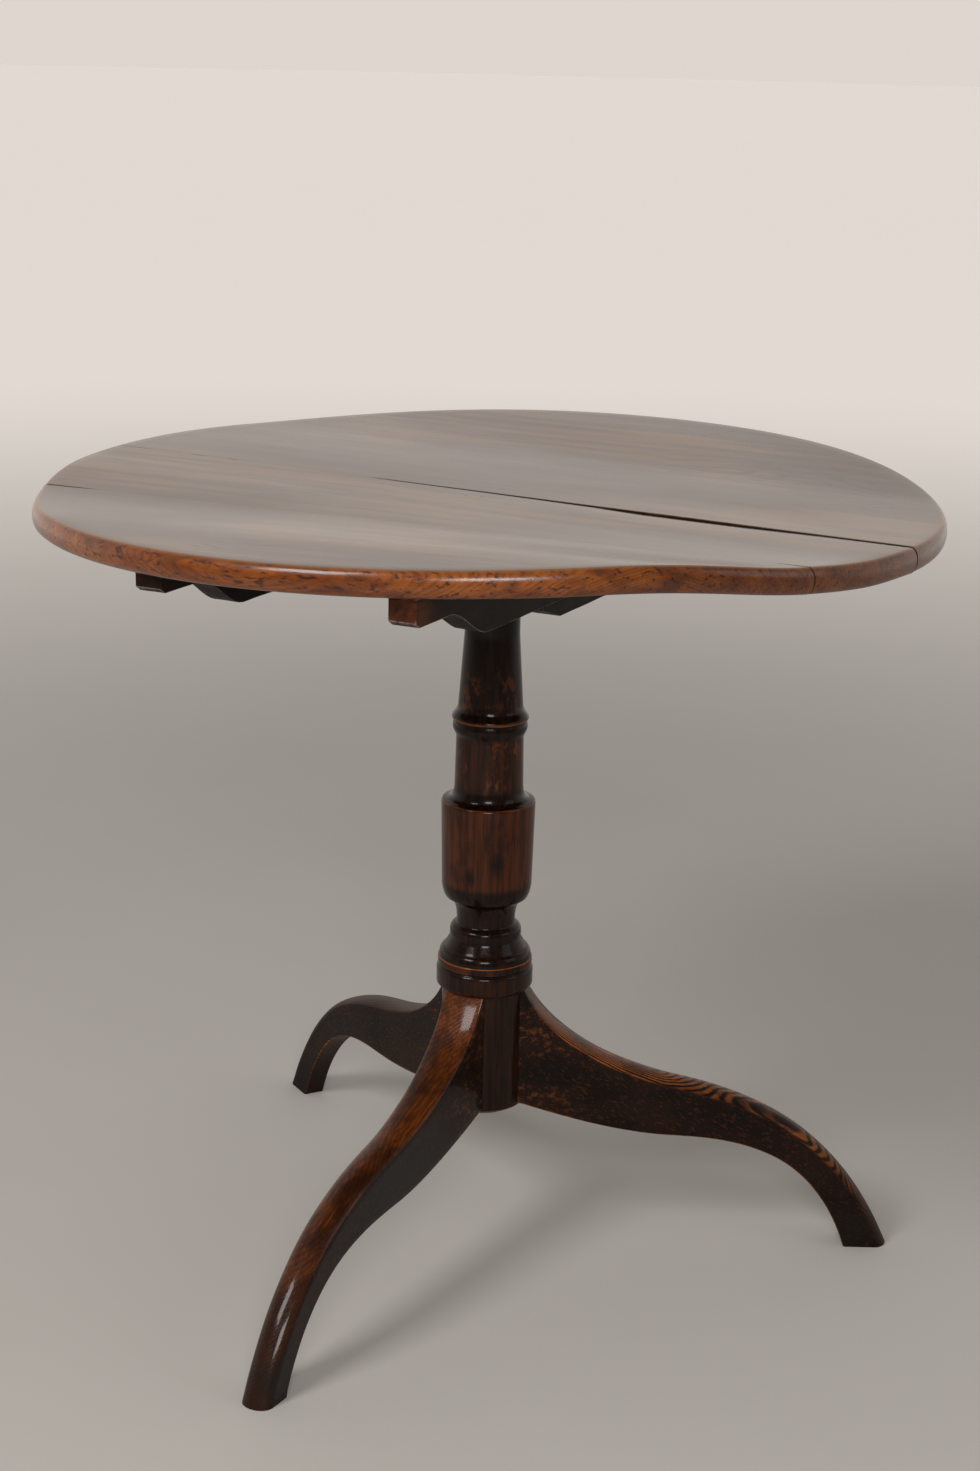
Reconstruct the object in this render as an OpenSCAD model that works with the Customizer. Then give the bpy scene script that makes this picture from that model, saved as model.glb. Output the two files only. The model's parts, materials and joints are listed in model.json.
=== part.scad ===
// Tilt top table: a round top of three boards on two battens, which tilts on a
// block above a turned column with three curved legs.
// Units are millimetres. +Z is up, and the origin is on the floor under the
// column's axis. The right-hand leg points along +X.

/* [Top] */
// Diameter of the round top
top_d = 766; // [740:2:800]
// Height of the flat, unwarped top above the floor
top_h = 700; // [690:1:710]
// How far the top's centre lies to the left of the column's axis
top_shift = 4.5; // [0:0.5:5]
// Thickness of the boards
board_t = 21; // [20:0.5:22]
// Width of the rounding along the rim
rim_round = 6; // [4:0.5:9]
// Direction of the boards' grain, measured from +X
grain_angle = -27; // [-40:1:-15]
// Distance from the top's centre line forward to the back seam
back_seam = 11; // [0:1:20]
// Width of the middle board
middle_w = 148; // [140:1:170]
// Depth of the hollow that shrinkage has pulled into the top
hollow = 11.5; // [10:0.1:13]
// Rise of the back edge out of the hollow
back_rise = 11.7; // [8:0.1:14]
// Rise of the front edge out of the hollow
front_rise = 8.5; // [6:0.1:12]
// Twist of the front board, as a slope along the grain
front_twist = 0.038; // [0.02:0.001:0.05]
// Opposite twist of the back board, as a slope along the grain
back_twist = 0.0082; // [0:0.0002:0.012]

/* [Battens] */
// Distance of each batten's centre from the middle of the top
batten_offset = 109; // [105:1:120]
// Width of a batten
batten_w = 24; // [22:1:28]
// Half the length of a batten
batten_reach = 357; // [350:1:362]
// Height of the right batten's lower edge above the floor
batten_low = 632; // [629:1:635]
// Depth of the shaped step near each end of the right batten
batten_step = 25; // [18:1:28]
// Depth of the step on the left batten
left_step = 28; // [20:1:30]
// How much lower the left batten sits, because the top is twisted
left_drop = 5; // [0:0.5:6]

/* [Tilt] */
// Distance of the pivot axis from the column's axis
pivot_offset = 80; // [76:1:84]
// Radius from the pivot to the block's rounded edge
pivot_swing = 14.6; // [13.5:0.1:15]
// Diameter of the two wooden pivots
pivot_d = 18; // [16:0.5:19]
// Underside of the block above the floor
block_low = 605; // [600:1:610]
// Distance from the column's axis to the block's front face
block_front = 98; // [95:1:100]

/* [Column] */
// Radius of the column's lower shaft, where the legs are housed
shaft_r = 37.5; // [36:0.5:38.5]
// Underside of the column above the floor
column_low = 133; // [131:1:134]
// Radius of the tenon that fits through the block
tenon_r = 19; // [17:0.5:21]

/* [Legs] */
// Thickness of a leg at the column
leg_t = 39; // [36:0.5:42]
// Thickness of a leg at its knee
knee_t = 33; // [30:0.5:38]
// Thickness at the toe of the right, back and front legs
toe_t = [29, 21, 28]; // [20:0.5:34]
// Distance from the column's axis to the toe of the right, back and front legs
toe_r = [373, 381, 370]; // [362:1:384]
// Length of the sole of the right, back and front legs
sole_l = [40, 38, 32]; // [28:1:44]
// How much higher than the right knee the right, back and front knees stand
knee_lift = [0, 6, -4]; // [-6:0.5:8]
// Sideways lean of the toe of the right, back and front legs
toe_lean = [-4, 1, 6.5]; // [-8:0.5:8]

/* [Catch] */
// Travel of the catch bolt
bolt_travel = 8; // [7:0.5:9]
// Width of the catch bolt
bolt_w = 10; // [8:0.5:12]
// Height of the catch bolt
bolt_t = 6; // [5:0.5:6]

/* [Hidden] */
$fn = 64;

// Colours of the woods and metals
elm = "#8c6a48";
dark_elm = "#5a3421";
mahogany = "#43190f";
brass = "#a98445";
iron = "#3a3532";
steel = "#6e6a64";

// Clearances: a batten under a board, a turning pivot, the top over the block
scribe_gap = 0.25;
pivot_clearance = 0.075;
seat_gap = 0.4;
side_gap = 0.8;
slide_gap = 0.2;

// ---- the warped top ----
top_r = top_d / 2;
flat_half = 160; // half-width of the level bottom of the hollow
back_run = 252; // width over which the back edge rises
front_run = 137; // width over which the front edge rises
front_twist_start = 70; // where the front twist begins, in front of the middle
front_twist_run = 214; // width over which it builds up
back_twist_peak = 110; // where the back twist is strongest
back_twist_half = 260; // half-width of the back twist

function clamp(x, low, high) = min(high, max(low, x));
function ease(x) = let (c = clamp(x, 0, 1)) c * c * (3 - 2 * c);
function rise(t) = t > 0 ? back_rise * ease((t - flat_half) / back_run)
    : front_rise * ease((-t - flat_half) / front_run);
function twist(t) = front_twist * ease((-t - front_twist_start) / front_twist_run)
    - back_twist * pow(cos(90 * clamp((t - back_twist_peak) / back_twist_half, -1, 1)), 2);
// Height of the upper surface: s runs along the grain, t across it, to the back
function surface_z(s, t) = top_h - hollow + rise(t) + twist(t) * s;
function underside_z(s, t) = surface_z(s, t) - board_t;

rim_steps = 6; // facets around the rounded rim
columns = 12; // divisions along the grain
row_angle = 2; // largest angle between rows of points
end_angle = 88; // the last row, which closes the rim with one facet

// Centre of the round top, along the grain and across it
centre_s = -top_shift * cos(grain_angle);
centre_t = top_shift * sin(grain_angle);

function rim_angle(k) = 90 - 180 * k / rim_steps;
function rim_r(k) = top_r - rim_round * (1 - cos(rim_angle(k)));
function rim_depth(k) = board_t / 2 * (1 - sin(rim_angle(k)));
function edge_angle(t, r) = abs(t - centre_t) >= r ? sign(t) * end_angle
    : asin((t - centre_t) / r);
function row_at(low, high, r, share) =
    edge_angle(low, r) + (edge_angle(high, r) - edge_angle(low, r)) * share;
function board_point(k, angle, across) =
    let (s = centre_s + rim_r(k) * cos(angle) * across, t = centre_t + rim_r(k) * sin(angle))
    [s, t, surface_z(s, t) - rim_depth(k)];

// One loop of points around a board: over the top, round the rim, back underneath
function board_loop(low, high, share) = [
    for (i = [0:columns])
        board_point(0, row_at(low, high, rim_r(0), share), 2 * i / columns - 1),
    for (k = [1:rim_steps - 1]) board_point(k, row_at(low, high, rim_r(k), share), 1),
    for (i = [columns:-1:0])
        board_point(rim_steps, row_at(low, high, rim_r(rim_steps), share), 2 * i / columns - 1),
    for (k = [rim_steps - 1:-1:1]) board_point(k, row_at(low, high, rim_r(k), share), -1)
];
loop_n = 2 * columns + 2 * rim_steps;

function turned(face, flip) = flip ? [for (i = [len(face) - 1:-1:0]) face[i]] : face;
// Triangles and strips that close the loop which starts at point number `first`
function board_end(first, flip) = let (
    left_1 = first + loop_n - 1,
    left_last = first + 2 * columns + rim_steps + 1,
    under = first + columns + rim_steps
) [
    for (i = [0:columns - 1]) turned([left_1, first + i + 1, first + i], flip),
    turned([left_1, first + columns + 1, first + columns], flip),
    for (k = [1:rim_steps - 2]) turned([left_1 - k + 1, left_1 - k,
        first + columns + k + 1, first + columns + k], flip),
    for (i = [0:columns - 1]) turned([left_last, under + i + 1, under + i], flip),
    turned([left_last, under, under - 1], flip)
];

// The part of the round top between two lines across the grain
module board(low, high) {
    rows = ceil((row_at(low, high, top_r, 1) - row_at(low, high, top_r, 0)) / row_angle);
    points = [for (j = [0:rows]) each board_loop(low, high, j / rows)];
    walls = [for (j = [0:rows - 1], m = [0:loop_n - 1]) let (
        here = j * loop_n + m,
        next = j * loop_n + (m + 1) % loop_n
    ) [here, here + loop_n, next + loop_n, next]];
    polyhedron(points, concat(walls, board_end(0, true), board_end(rows * loop_n, false)));
}

// Turns a drawing whose X runs along the grain and whose Y runs across it
module along_grain() rotate([0, 0, grain_angle]) children();

module back_board() color(elm) along_grain() board(-back_seam, top_d);
module middle_board() color(elm) along_grain() board(-back_seam - middle_w, -back_seam);
module front_board() color(elm) along_grain() board(-top_d, -back_seam - middle_w);

// ---- battens ----
block_top = top_h - board_t - hollow - back_twist * batten_offset - seat_gap;
pivot_z = block_top - pivot_swing;
batten_end_t = 52; // length of the thin nose at each end
batten_curve = 63; // length of the curve from the nose to the full depth
scribe_step = 12; // spacing of the points that follow the warped boards
nose_round = 4; // the nose's lower corner is eased over this length
screw_places = [-325, -190, -40, 190, 325];
screw_grip = 16; // wood between a screw's head and the boards
screw_bite = 14; // length of a screw inside the boards
screw_r = 2.4;
screw_head_r = 4.6;
screw_head_t = 2.6;
screw_gap = 0.1;

function batten_top(s, t) = min(underside_z(s - batten_w / 2, t), underside_z(s + batten_w / 2, t))
    - scribe_gap;
function batten_bottom(t, drop, step) = batten_low - drop
    + step * (1 - ease((batten_reach - batten_end_t - abs(t)) / batten_curve));
function batten_outline(s, drop, step) = let (nose_z = batten_bottom(batten_reach, drop, step)) [
    for (t = [-batten_reach:scribe_step:batten_reach]) [t, batten_top(s, t)],
    [batten_reach, batten_top(s, batten_reach)],
    [batten_reach, nose_z + nose_round],
    [batten_reach - nose_round, nose_z],
    for (u = [0:0.125:1]) let (t = batten_reach - batten_end_t - u * batten_curve)
        [t, batten_bottom(t, drop, step)],
    for (u = [1:-0.125:0]) let (t = batten_reach - batten_end_t - u * batten_curve)
        [-t, batten_bottom(t, drop, step)],
    [nose_round - batten_reach, nose_z],
    [-batten_reach, nose_z + nose_round]
];

// Extrudes an outline of (across the grain, height) along the grain, centred on s
module slab(s, width) translate([s - width / 2, 0, 0]) rotate([90, 0, 90])
    linear_extrude(width) children();

module batten(s, drop, step) color(mahogany) along_grain() difference() {
    slab(s, batten_w) polygon(batten_outline(s, drop, step));
    translate([s - batten_w, pivot_offset, pivot_z]) rotate([0, 90, 0])
        cylinder(h = 2 * batten_w, r = pivot_d / 2 + pivot_clearance);
    for (t = screw_places) {
        translate([s, t, block_low]) cylinder(h = top_h - block_low, r = screw_r + screw_gap);
        translate([s, t, block_low]) cylinder(
            h = batten_top(s, t) - screw_grip - block_low, r = screw_head_r + screw_gap);
    }
}
module left_batten() batten(-batten_offset, left_drop, left_step);
module right_batten() batten(batten_offset, 0, batten_step);

module batten_screws() color(steel) along_grain()
    for (s = [-batten_offset, batten_offset], t = screw_places)
        translate([s, t, batten_top(s, t) - screw_grip]) {
            cylinder(h = screw_grip + scribe_gap + screw_bite, r = screw_r);
            translate([0, 0, -screw_head_t]) cylinder(h = screw_head_t + 0.01, r = screw_head_r);
        }

// ---- catch under the top, and its keeper on the block ----
catch_plate_w = 56;
catch_plate_l = 44;
catch_plate_t = 2.5;
catch_front = block_front + 8; // the plate's edge nearest the block
catch_top = underside_z(0, -catch_front) - 0.5;
bolt_z = pivot_z + 3.5; // underside of the bolt
bolt_l = 60;
keeper_t = 1.5;
keeper_w = 40;
keeper_h = 20;
keeper_low = bolt_z - 9;
nose_gap = 1.3; // from the drawn-back bolt to the keeper
bolt_nose = -block_front - keeper_t - nose_gap;
guide_w = 20;
guide_l = 8;
guide_places = [-catch_front - 8, -catch_front - 36];
guide_wall = 2;
knob_t = -catch_front - 26; // where the knob stands on the drawn-back bolt
knob_r = 6.5;
catch_screw_s = 22;
catch_screw_t = [-catch_front - 5, -catch_front - catch_plate_l + 5];
small_screw_r = 1.6;
small_head_r = 3.2;
small_head_t = 1.4;
small_bite = 12;

module small_screw(length) {
    cylinder(h = length, r = small_screw_r);
    cylinder(h = small_head_t, r1 = small_head_r, r2 = small_screw_r);
}

module catch_plate() color(brass) along_grain() difference() {
    union() {
        translate([-catch_plate_w / 2, -catch_front - catch_plate_l, catch_top - catch_plate_t])
            cube([catch_plate_w, catch_plate_l, catch_plate_t]);
        for (t = guide_places)
            translate([-guide_w / 2, t - guide_l / 2, bolt_z - slide_gap - guide_wall])
                cube([guide_w, guide_l, catch_top - catch_plate_t / 2 - bolt_z + slide_gap
                    + guide_wall]);
    }
    translate([-bolt_w / 2 - slide_gap, -catch_front - catch_plate_l - 1, bolt_z - slide_gap])
        cube([bolt_w + 2 * slide_gap, catch_plate_l + 2, bolt_t + 2 * slide_gap]);
    for (s = [-catch_screw_s, catch_screw_s], t = catch_screw_t)
        translate([s, t, catch_top - catch_plate_t]) small_screw(catch_plate_t + 1);
}

module catch_screws() color(steel) along_grain()
    for (s = [-catch_screw_s, catch_screw_s], t = catch_screw_t)
        translate([s, t, catch_top - catch_plate_t]) small_screw(catch_plate_t + small_bite);

module catch_bolt() color(brass) along_grain() slab(0, bolt_w) polygon([
    [bolt_nose - bolt_l, bolt_z],
    [bolt_nose, bolt_z],
    [bolt_nose, bolt_z + bolt_t / 2],
    [bolt_nose - bolt_t / 2, bolt_z + bolt_t],
    [bolt_nose - bolt_l, bolt_z + bolt_t]
]);

// A turned knob: a waisted neck and a flattened ball, hanging under the bolt
module catch_knob() color(brass) along_grain() translate([0, knob_t, bolt_z])
    rotate_extrude() polygon([
        [0, 0], [3.2, 0], [2.5, -1.5], [2.5, -4.5], [3.6, -5.5],
        for (a = [60:-15:-75]) [knob_r * cos(a), -11 + knob_r * 0.85 * sin(a)],
        [0, -11 - knob_r * 0.85]
    ]);

module keeper_holes(s_gap, depth) translate([-bolt_w / 2 - s_gap,
    -block_front - 2 * keeper_t, bolt_z - s_gap])
    cube([bolt_w + 2 * s_gap, depth, bolt_t + 2 * s_gap]);

keeper_screw_s = 15;
keeper_screw_z = keeper_low + keeper_h / 2;

module keeper_plate() color(brass) along_grain() difference() {
    translate([-keeper_w / 2, -block_front - keeper_t, keeper_low])
        cube([keeper_w, keeper_t, keeper_h]);
    keeper_holes(0.6, 3 * keeper_t);
    for (s = [-keeper_screw_s, keeper_screw_s])
        translate([s, -block_front - keeper_t, keeper_screw_z]) rotate([-90, 0, 0])
            small_screw(keeper_t + 1);
}

module keeper_screws() color(steel) along_grain()
    for (s = [-keeper_screw_s, keeper_screw_s])
        translate([s, -block_front - keeper_t, keeper_screw_z]) rotate([-90, 0, 0])
            small_screw(keeper_t + small_bite);

// ---- block with its two wooden pivots ----
block_half = batten_offset - batten_w / 2 - side_gap;
pivot_end = batten_offset + batten_w / 2;
bevel_l = 32; // the block's lower edges are bevelled over this length
bevel_h = 10;
block_back = pivot_offset + pivot_swing;
wedge_top_w = 3.4;
wedge_low_w = 1.4;
wedge_h = 34;

module tilt_block() color(mahogany) along_grain() difference() {
    union() {
        slab(0, 2 * block_half) polygon([
            [-block_front, block_top], [-block_front, block_low + bevel_h],
            [bevel_l - block_front, block_low], [block_back - bevel_l, block_low],
            [block_back, block_low + bevel_h],
            for (a = [0:10:90]) [pivot_offset + pivot_swing * cos(a),
                pivot_z + pivot_swing * sin(a)]
        ]);
        translate([-pivot_end, pivot_offset, pivot_z]) rotate([0, 90, 0])
            cylinder(h = 2 * pivot_end, d = pivot_d);
    }
    translate([0, 0, block_low - 1]) cylinder(h = block_top - block_low + 2, r = tenon_r);
    keeper_holes(1, bolt_travel + 3 * keeper_t + 4);
}

// The wedge that spreads the tenon, drawn as an outline across the grain
module wedge_outline() polygon([
    [-wedge_top_w / 2, tenon_top], [-wedge_low_w / 2, tenon_top - wedge_h],
    [wedge_low_w / 2, tenon_top - wedge_h], [wedge_top_w / 2, tenon_top]
]);
module tenon_wedge() color(elm) along_grain() intersection() {
    slab(0, 2 * tenon_r + 2) wedge_outline();
    translate([0, 0, block_low]) cylinder(h = block_top, r = tenon_r);
}

// ---- turned column ----
tenon_top = block_top - 0.6;
ring_low = 243.5; // underside of the ring above the legs
ring_r = 42.9;
groove_z = 263;
ogee_edge_z = 270.8; // edge where the ogee meets the band below it
ogee_high = 289.5;
neck_r = 25.8;
drum_low = 338;
drum_high = 416;
drum_low_r = 39.7;
drum_high_r = 41.3;
upper_low_r = 30.2; // the plain shaft above the drum
upper_high_r = 29.4;
bead_low = 475.5;
bead_high = 488;
bead_r = 32.6;
flare_r = 33.6; // the flared ring above the bead
top_low_r = 28.3; // the tapered stem above the ring
top_high_r = 24;
stem_z = 565;

// Points of a quarter-round that turns from one point to another: `first` picks the
// side on which it starts straight up
function quarter(from, to, first) = [for (u = [0:0.2:1]) first
    ? [from[0] + (to[0] - from[0]) * (1 - cos(90 * u)), from[1] + (to[1] - from[1]) * sin(90 * u)]
    : [from[0] + (to[0] - from[0]) * sin(90 * u), from[1] + (to[1] - from[1]) * (1 - cos(90 * u))]];
// Points of a rounded bead that swells from one radius to `peak` and back
function bead(low, high, r_low, r_high, peak) = [for (u = [0:0.1:1])
    [r_low + (r_high - r_low) * u + (peak - (r_low + r_high) / 2) * sin(180 * u),
        low + (high - low) * u]];

column_outline = concat(
    [[0, column_low], [shaft_r - 1, column_low], [shaft_r, column_low + 1], [shaft_r, ring_low]],
    [[ring_r - 2, ring_low], [ring_r, ring_low + 2.5], [ring_r, groove_z - 3]],
    [[ring_r - 0.8, groove_z - 1.2], [ring_r - 2.2, groove_z]],
    [[ring_r - 0.9, groove_z + 1.6], [ring_r - 1, ogee_edge_z - 0.6], [ring_r - 1.6, ogee_edge_z]],
    quarter([ring_r - 2, ogee_edge_z], [36.5, 279.5], true),
    [[33.6, 285], [31.2, ogee_high], [31.7, ogee_high + 1.6], [31.6, 295]],
    quarter([31.6, 295], [neck_r + 1.2, 301], true),
    [[neck_r, 302.5], [neck_r, 306]],
    quarter([neck_r, 306], [35, 326], true),
    [[36.6, 327.2], [38.6, 332], [drum_low_r, drum_low]],
    [[drum_high_r, drum_high - 2], [drum_high_r - 0.9, drum_high], [36, drum_high + 0.6]],
    [[32.6, 418.5], [31, 422], [upper_low_r, 427], [upper_high_r, 473]],
    bead(bead_low, bead_high, upper_high_r + 0.6, flare_r - 2, bead_r),
    [[flare_r - 0.6, 489], [flare_r, 490.4], [flare_r - 0.3, 492], [31.5, 494.6]],
    [[29.4, 497.2], [top_low_r, 500.5], [top_high_r, stem_z], [top_high_r, block_low]],
    [[tenon_r, block_low], [tenon_r, tenon_top], [0, tenon_top]]
);

module column() color(mahogany) difference() {
    rotate_extrude() polygon(column_outline);
    along_grain() slab(0, 2 * tenon_r + 2) wedge_outline();
    for (angle = leg_angles) rotate([0, 0, angle]) dovetail();
}

// ---- legs ----
leg_angles = [0, 120, 240];
leg_steps = 14; // divisions of each of the two curves that make a leg's edge
crown_steps = 8; // facets across the rounded upper side
crown_low = 5.5; // height of the rounding at the column
crown_high = 11; // height of the rounding at the toe
dovetail_neck = 8; // half-widths of the dovetail that slides into the column
dovetail_wide = 11.5;
dovetail_r = 23;
dovetail_top = 226;

// Upper and lower edges of leg number i, as two joined curves of four control points each
function crown_upper(i) = [[30, 262], [50, 197], [120, 169.5 + knee_lift[i]],
    [174, 158 + knee_lift[i]]];
function crown_lower(i) = [[174, 158 + knee_lift[i]], [250, 142 + knee_lift[i]],
    [325, 112 + knee_lift[i]], [toe_r[i], 0]];
function belly_upper(i) = [[30, 136], [75, 122], [125, 107 + knee_lift[i]],
    [174, 106 + knee_lift[i]]];
function belly_lower(i) = [[174, 106 + knee_lift[i]], [235, 104 + knee_lift[i]],
    [300, 95 + knee_lift[i]], [toe_r[i] - sole_l[i], 0]];

function bezier(p, u) = pow(1 - u, 3) * p[0] + 3 * u * pow(1 - u, 2) * p[1]
    + 3 * u * u * (1 - u) * p[2] + pow(u, 3) * p[3];
function leg_edge(upper, lower, u) = u < 1 ? bezier(upper, u) : bezier(lower, u - 1);
function leg_half(i, u) = u < 1 ? (leg_t + (knee_t - leg_t) * ease(u)) / 2
    : (knee_t + (toe_t[i] - knee_t) * ease(u - 1)) / 2;

// One cross-section: a flat underside, upright sides and a rounded crown
function leg_section(i, u) = let (
    crown = leg_edge(crown_upper(i), crown_lower(i), u),
    belly = leg_edge(belly_upper(i), belly_lower(i), u),
    depth = norm(crown - belly),
    dome = crown_low + (crown_high - crown_low) * u / 2,
    half = leg_half(i, u),
    lean = toe_lean[i] * u / 2,
    up = (crown - belly) / depth
) [
    for (place = [
        [-half + 1.5, 0], [-half, 1.5],
        for (step = [0:crown_steps]) let (a = 180 - 180 * step / crown_steps)
            [half * cos(a), depth - dome + dome * sin(a)],
        [half, 1.5], [half - 1.5, 0]
    ]) [belly[0] + up[0] * place[1], place[0] + lean, belly[1] + up[1] * place[1]]
];
section_n = crown_steps + 5;

module leg_sweep(i) {
    rows = 2 * leg_steps;
    points = [for (j = [0:rows]) each leg_section(i, j / leg_steps)];
    walls = [for (j = [0:rows - 1], m = [0:section_n - 1]) let (
        here = j * section_n + m,
        next = j * section_n + (m + 1) % section_n
    ) [here, next, next + section_n, here + section_n]];
    first = [for (m = [section_n - 1:-1:0]) m];
    last = [for (m = [0:section_n - 1]) rows * section_n + m];
    polyhedron(points, concat(walls, [first], [last]));
}

module dovetail() translate([0, 0, column_low])
    linear_extrude(dovetail_top - column_low) polygon([
        [shaft_r + 2, -dovetail_neck], [dovetail_r, -dovetail_wide],
        [dovetail_r, dovetail_wide], [shaft_r + 2, dovetail_neck]
    ]);

module leg(i, tint) color(tint) rotate([0, 0, leg_angles[i]]) union() {
    difference() {
        leg_sweep(i);
        cylinder(h = top_h / 2, r = shaft_r);
        translate([0, 0, ring_low]) cylinder(h = top_h / 10, r = 2 * shaft_r);
    }
    dovetail();
}
module right_leg() leg(0, mahogany);
module back_leg() leg(1, dark_elm);
module front_leg() leg(2, dark_elm);

// ---- iron brace under the column ----
brace_t = 3;
brace_w = 18;
brace_reach = 0.42; // how far along the leg's lower edge each arm reaches
brace_bend = 0.06; // where an arm leaves the column
brace_gap = 0.4; // the arms follow the carved legs this loosely
nail_places = [0.2, 0.36];
nail_r = 2;
nail_head_r = 5;
nail_head_t = 1.6;
nail_l = 22;

module brace_arm(i) {
    under = [for (u = [brace_bend:0.06:brace_reach]) bezier(belly_upper(i), u) - [0, brace_gap]];
    rotate([90, 0, 0]) linear_extrude(brace_w, center = true) polygon(concat(
        [[0, column_low], [shaft_r, column_low]], under,
        [for (i = [len(under) - 1:-1:0]) under[i] - [0.8, brace_t]],
        [[shaft_r - 1, column_low - brace_t], [0, column_low - brace_t]]));
}
module brace_plate() color(iron) union() {
    translate([0, 0, column_low - brace_t]) cylinder(h = brace_t, r = shaft_r - 6);
    for (i = [0:2]) rotate([0, 0, leg_angles[i]]) brace_arm(i);
}

module brace_nails() color(iron)
    for (i = [0:2], u = nail_places) let (place = bezier(belly_upper(i), u))
        rotate([0, 0, leg_angles[i]]) translate([place[0], 0, place[1] - brace_t]) {
            cylinder(h = nail_l, r = nail_r);
            translate([0, 0, -nail_head_t]) cylinder(h = nail_head_t + 0.6, r = nail_head_r);
        }

back_board();
middle_board();
front_board();
left_batten();
right_batten();
batten_screws();
catch_plate();
catch_screws();
catch_bolt();
catch_knob();
keeper_plate();
keeper_screws();
tilt_block();
column();
tenon_wedge();
right_leg();
back_leg();
front_leg();
brace_plate();
brace_nails();
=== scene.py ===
# %% [markdown]
# # A tilt top tripod table
# This table has a round elm top of three boards, warped by two centuries of dry rooms. Two battens
# are screwed under the boards, and they turn on the wooden pivots of a block on top of a turned
# column. Three curved legs are housed in the foot of the column.
#
# The working model of the table was made first, in another program. It is loaded here as a fixed
# frame: it says where every piece is, how thick it is and what moves. This lesson then makes each
# piece again with the detail that the eye looks for, and gives it its finish.

# %% Load the frame
import json
import math

import bpy
import numpy as np
from mathutils import Matrix, Vector, noise


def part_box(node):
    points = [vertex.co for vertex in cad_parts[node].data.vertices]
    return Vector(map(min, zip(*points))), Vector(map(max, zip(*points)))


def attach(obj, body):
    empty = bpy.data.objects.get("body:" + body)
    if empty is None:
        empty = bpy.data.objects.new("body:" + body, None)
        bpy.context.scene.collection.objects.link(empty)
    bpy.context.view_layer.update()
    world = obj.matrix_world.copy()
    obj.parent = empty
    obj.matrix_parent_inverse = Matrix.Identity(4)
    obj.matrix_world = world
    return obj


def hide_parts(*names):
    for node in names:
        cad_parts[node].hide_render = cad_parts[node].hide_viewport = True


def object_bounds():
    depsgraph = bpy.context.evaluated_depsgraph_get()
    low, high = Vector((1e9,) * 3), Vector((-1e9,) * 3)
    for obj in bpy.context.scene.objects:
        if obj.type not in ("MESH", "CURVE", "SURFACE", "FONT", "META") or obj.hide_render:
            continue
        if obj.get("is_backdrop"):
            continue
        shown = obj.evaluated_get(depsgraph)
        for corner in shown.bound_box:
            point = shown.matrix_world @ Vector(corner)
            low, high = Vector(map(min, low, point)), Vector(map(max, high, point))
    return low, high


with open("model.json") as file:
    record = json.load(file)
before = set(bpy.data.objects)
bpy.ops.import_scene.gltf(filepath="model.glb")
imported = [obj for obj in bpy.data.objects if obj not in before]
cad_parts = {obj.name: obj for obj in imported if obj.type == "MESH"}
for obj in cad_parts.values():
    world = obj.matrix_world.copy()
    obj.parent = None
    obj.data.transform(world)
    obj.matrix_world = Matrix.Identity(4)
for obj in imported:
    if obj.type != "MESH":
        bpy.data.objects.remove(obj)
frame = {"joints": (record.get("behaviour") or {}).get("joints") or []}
cad_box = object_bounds()
MM = 0.001

# %% [markdown]
# ## The camera
# A camera is placed by where it stands and by how it is turned. This one stands at the height of a
# person who has sat down a few steps away. It looks down a little, and it was held slightly tilted.
# Starting from a camera that looks straight down, it is raised about X until it looks forward, and
# turned about its own line of sight for the tilt.

# %% Place the camera
CAMERA_PLACE = (0.0, -2.18334, 1.1051)
LOOK_DOWN = math.radians(16.155)
HELD_TILT = math.radians(1.332)

camera = bpy.data.objects.new("camera", bpy.data.cameras.new("camera"))
bpy.context.scene.collection.objects.link(camera)
camera.data.lens = 63.98
camera.data.sensor_width = 36.0
camera.matrix_world = (
    Matrix.Translation(CAMERA_PLACE)
    @ Matrix.Rotation(math.pi / 2 - LOOK_DOWN, 4, "X")
    @ Matrix.Rotation(HELD_TILT, 4, "Z")
)
bpy.context.scene.camera = camera
print("camera lens", round(camera.data.lens, 1), "mm")

# %% [markdown]
# ## A small language for finishes
# A finish in Blender is a web of nodes. Written out node by node it is long and hard to read, so
# this cell makes a class that wraps one socket. A sum or a product of two wires adds the Math node
# that it needs, and one method adds any other node. With it, a finish reads like a recipe.

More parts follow.
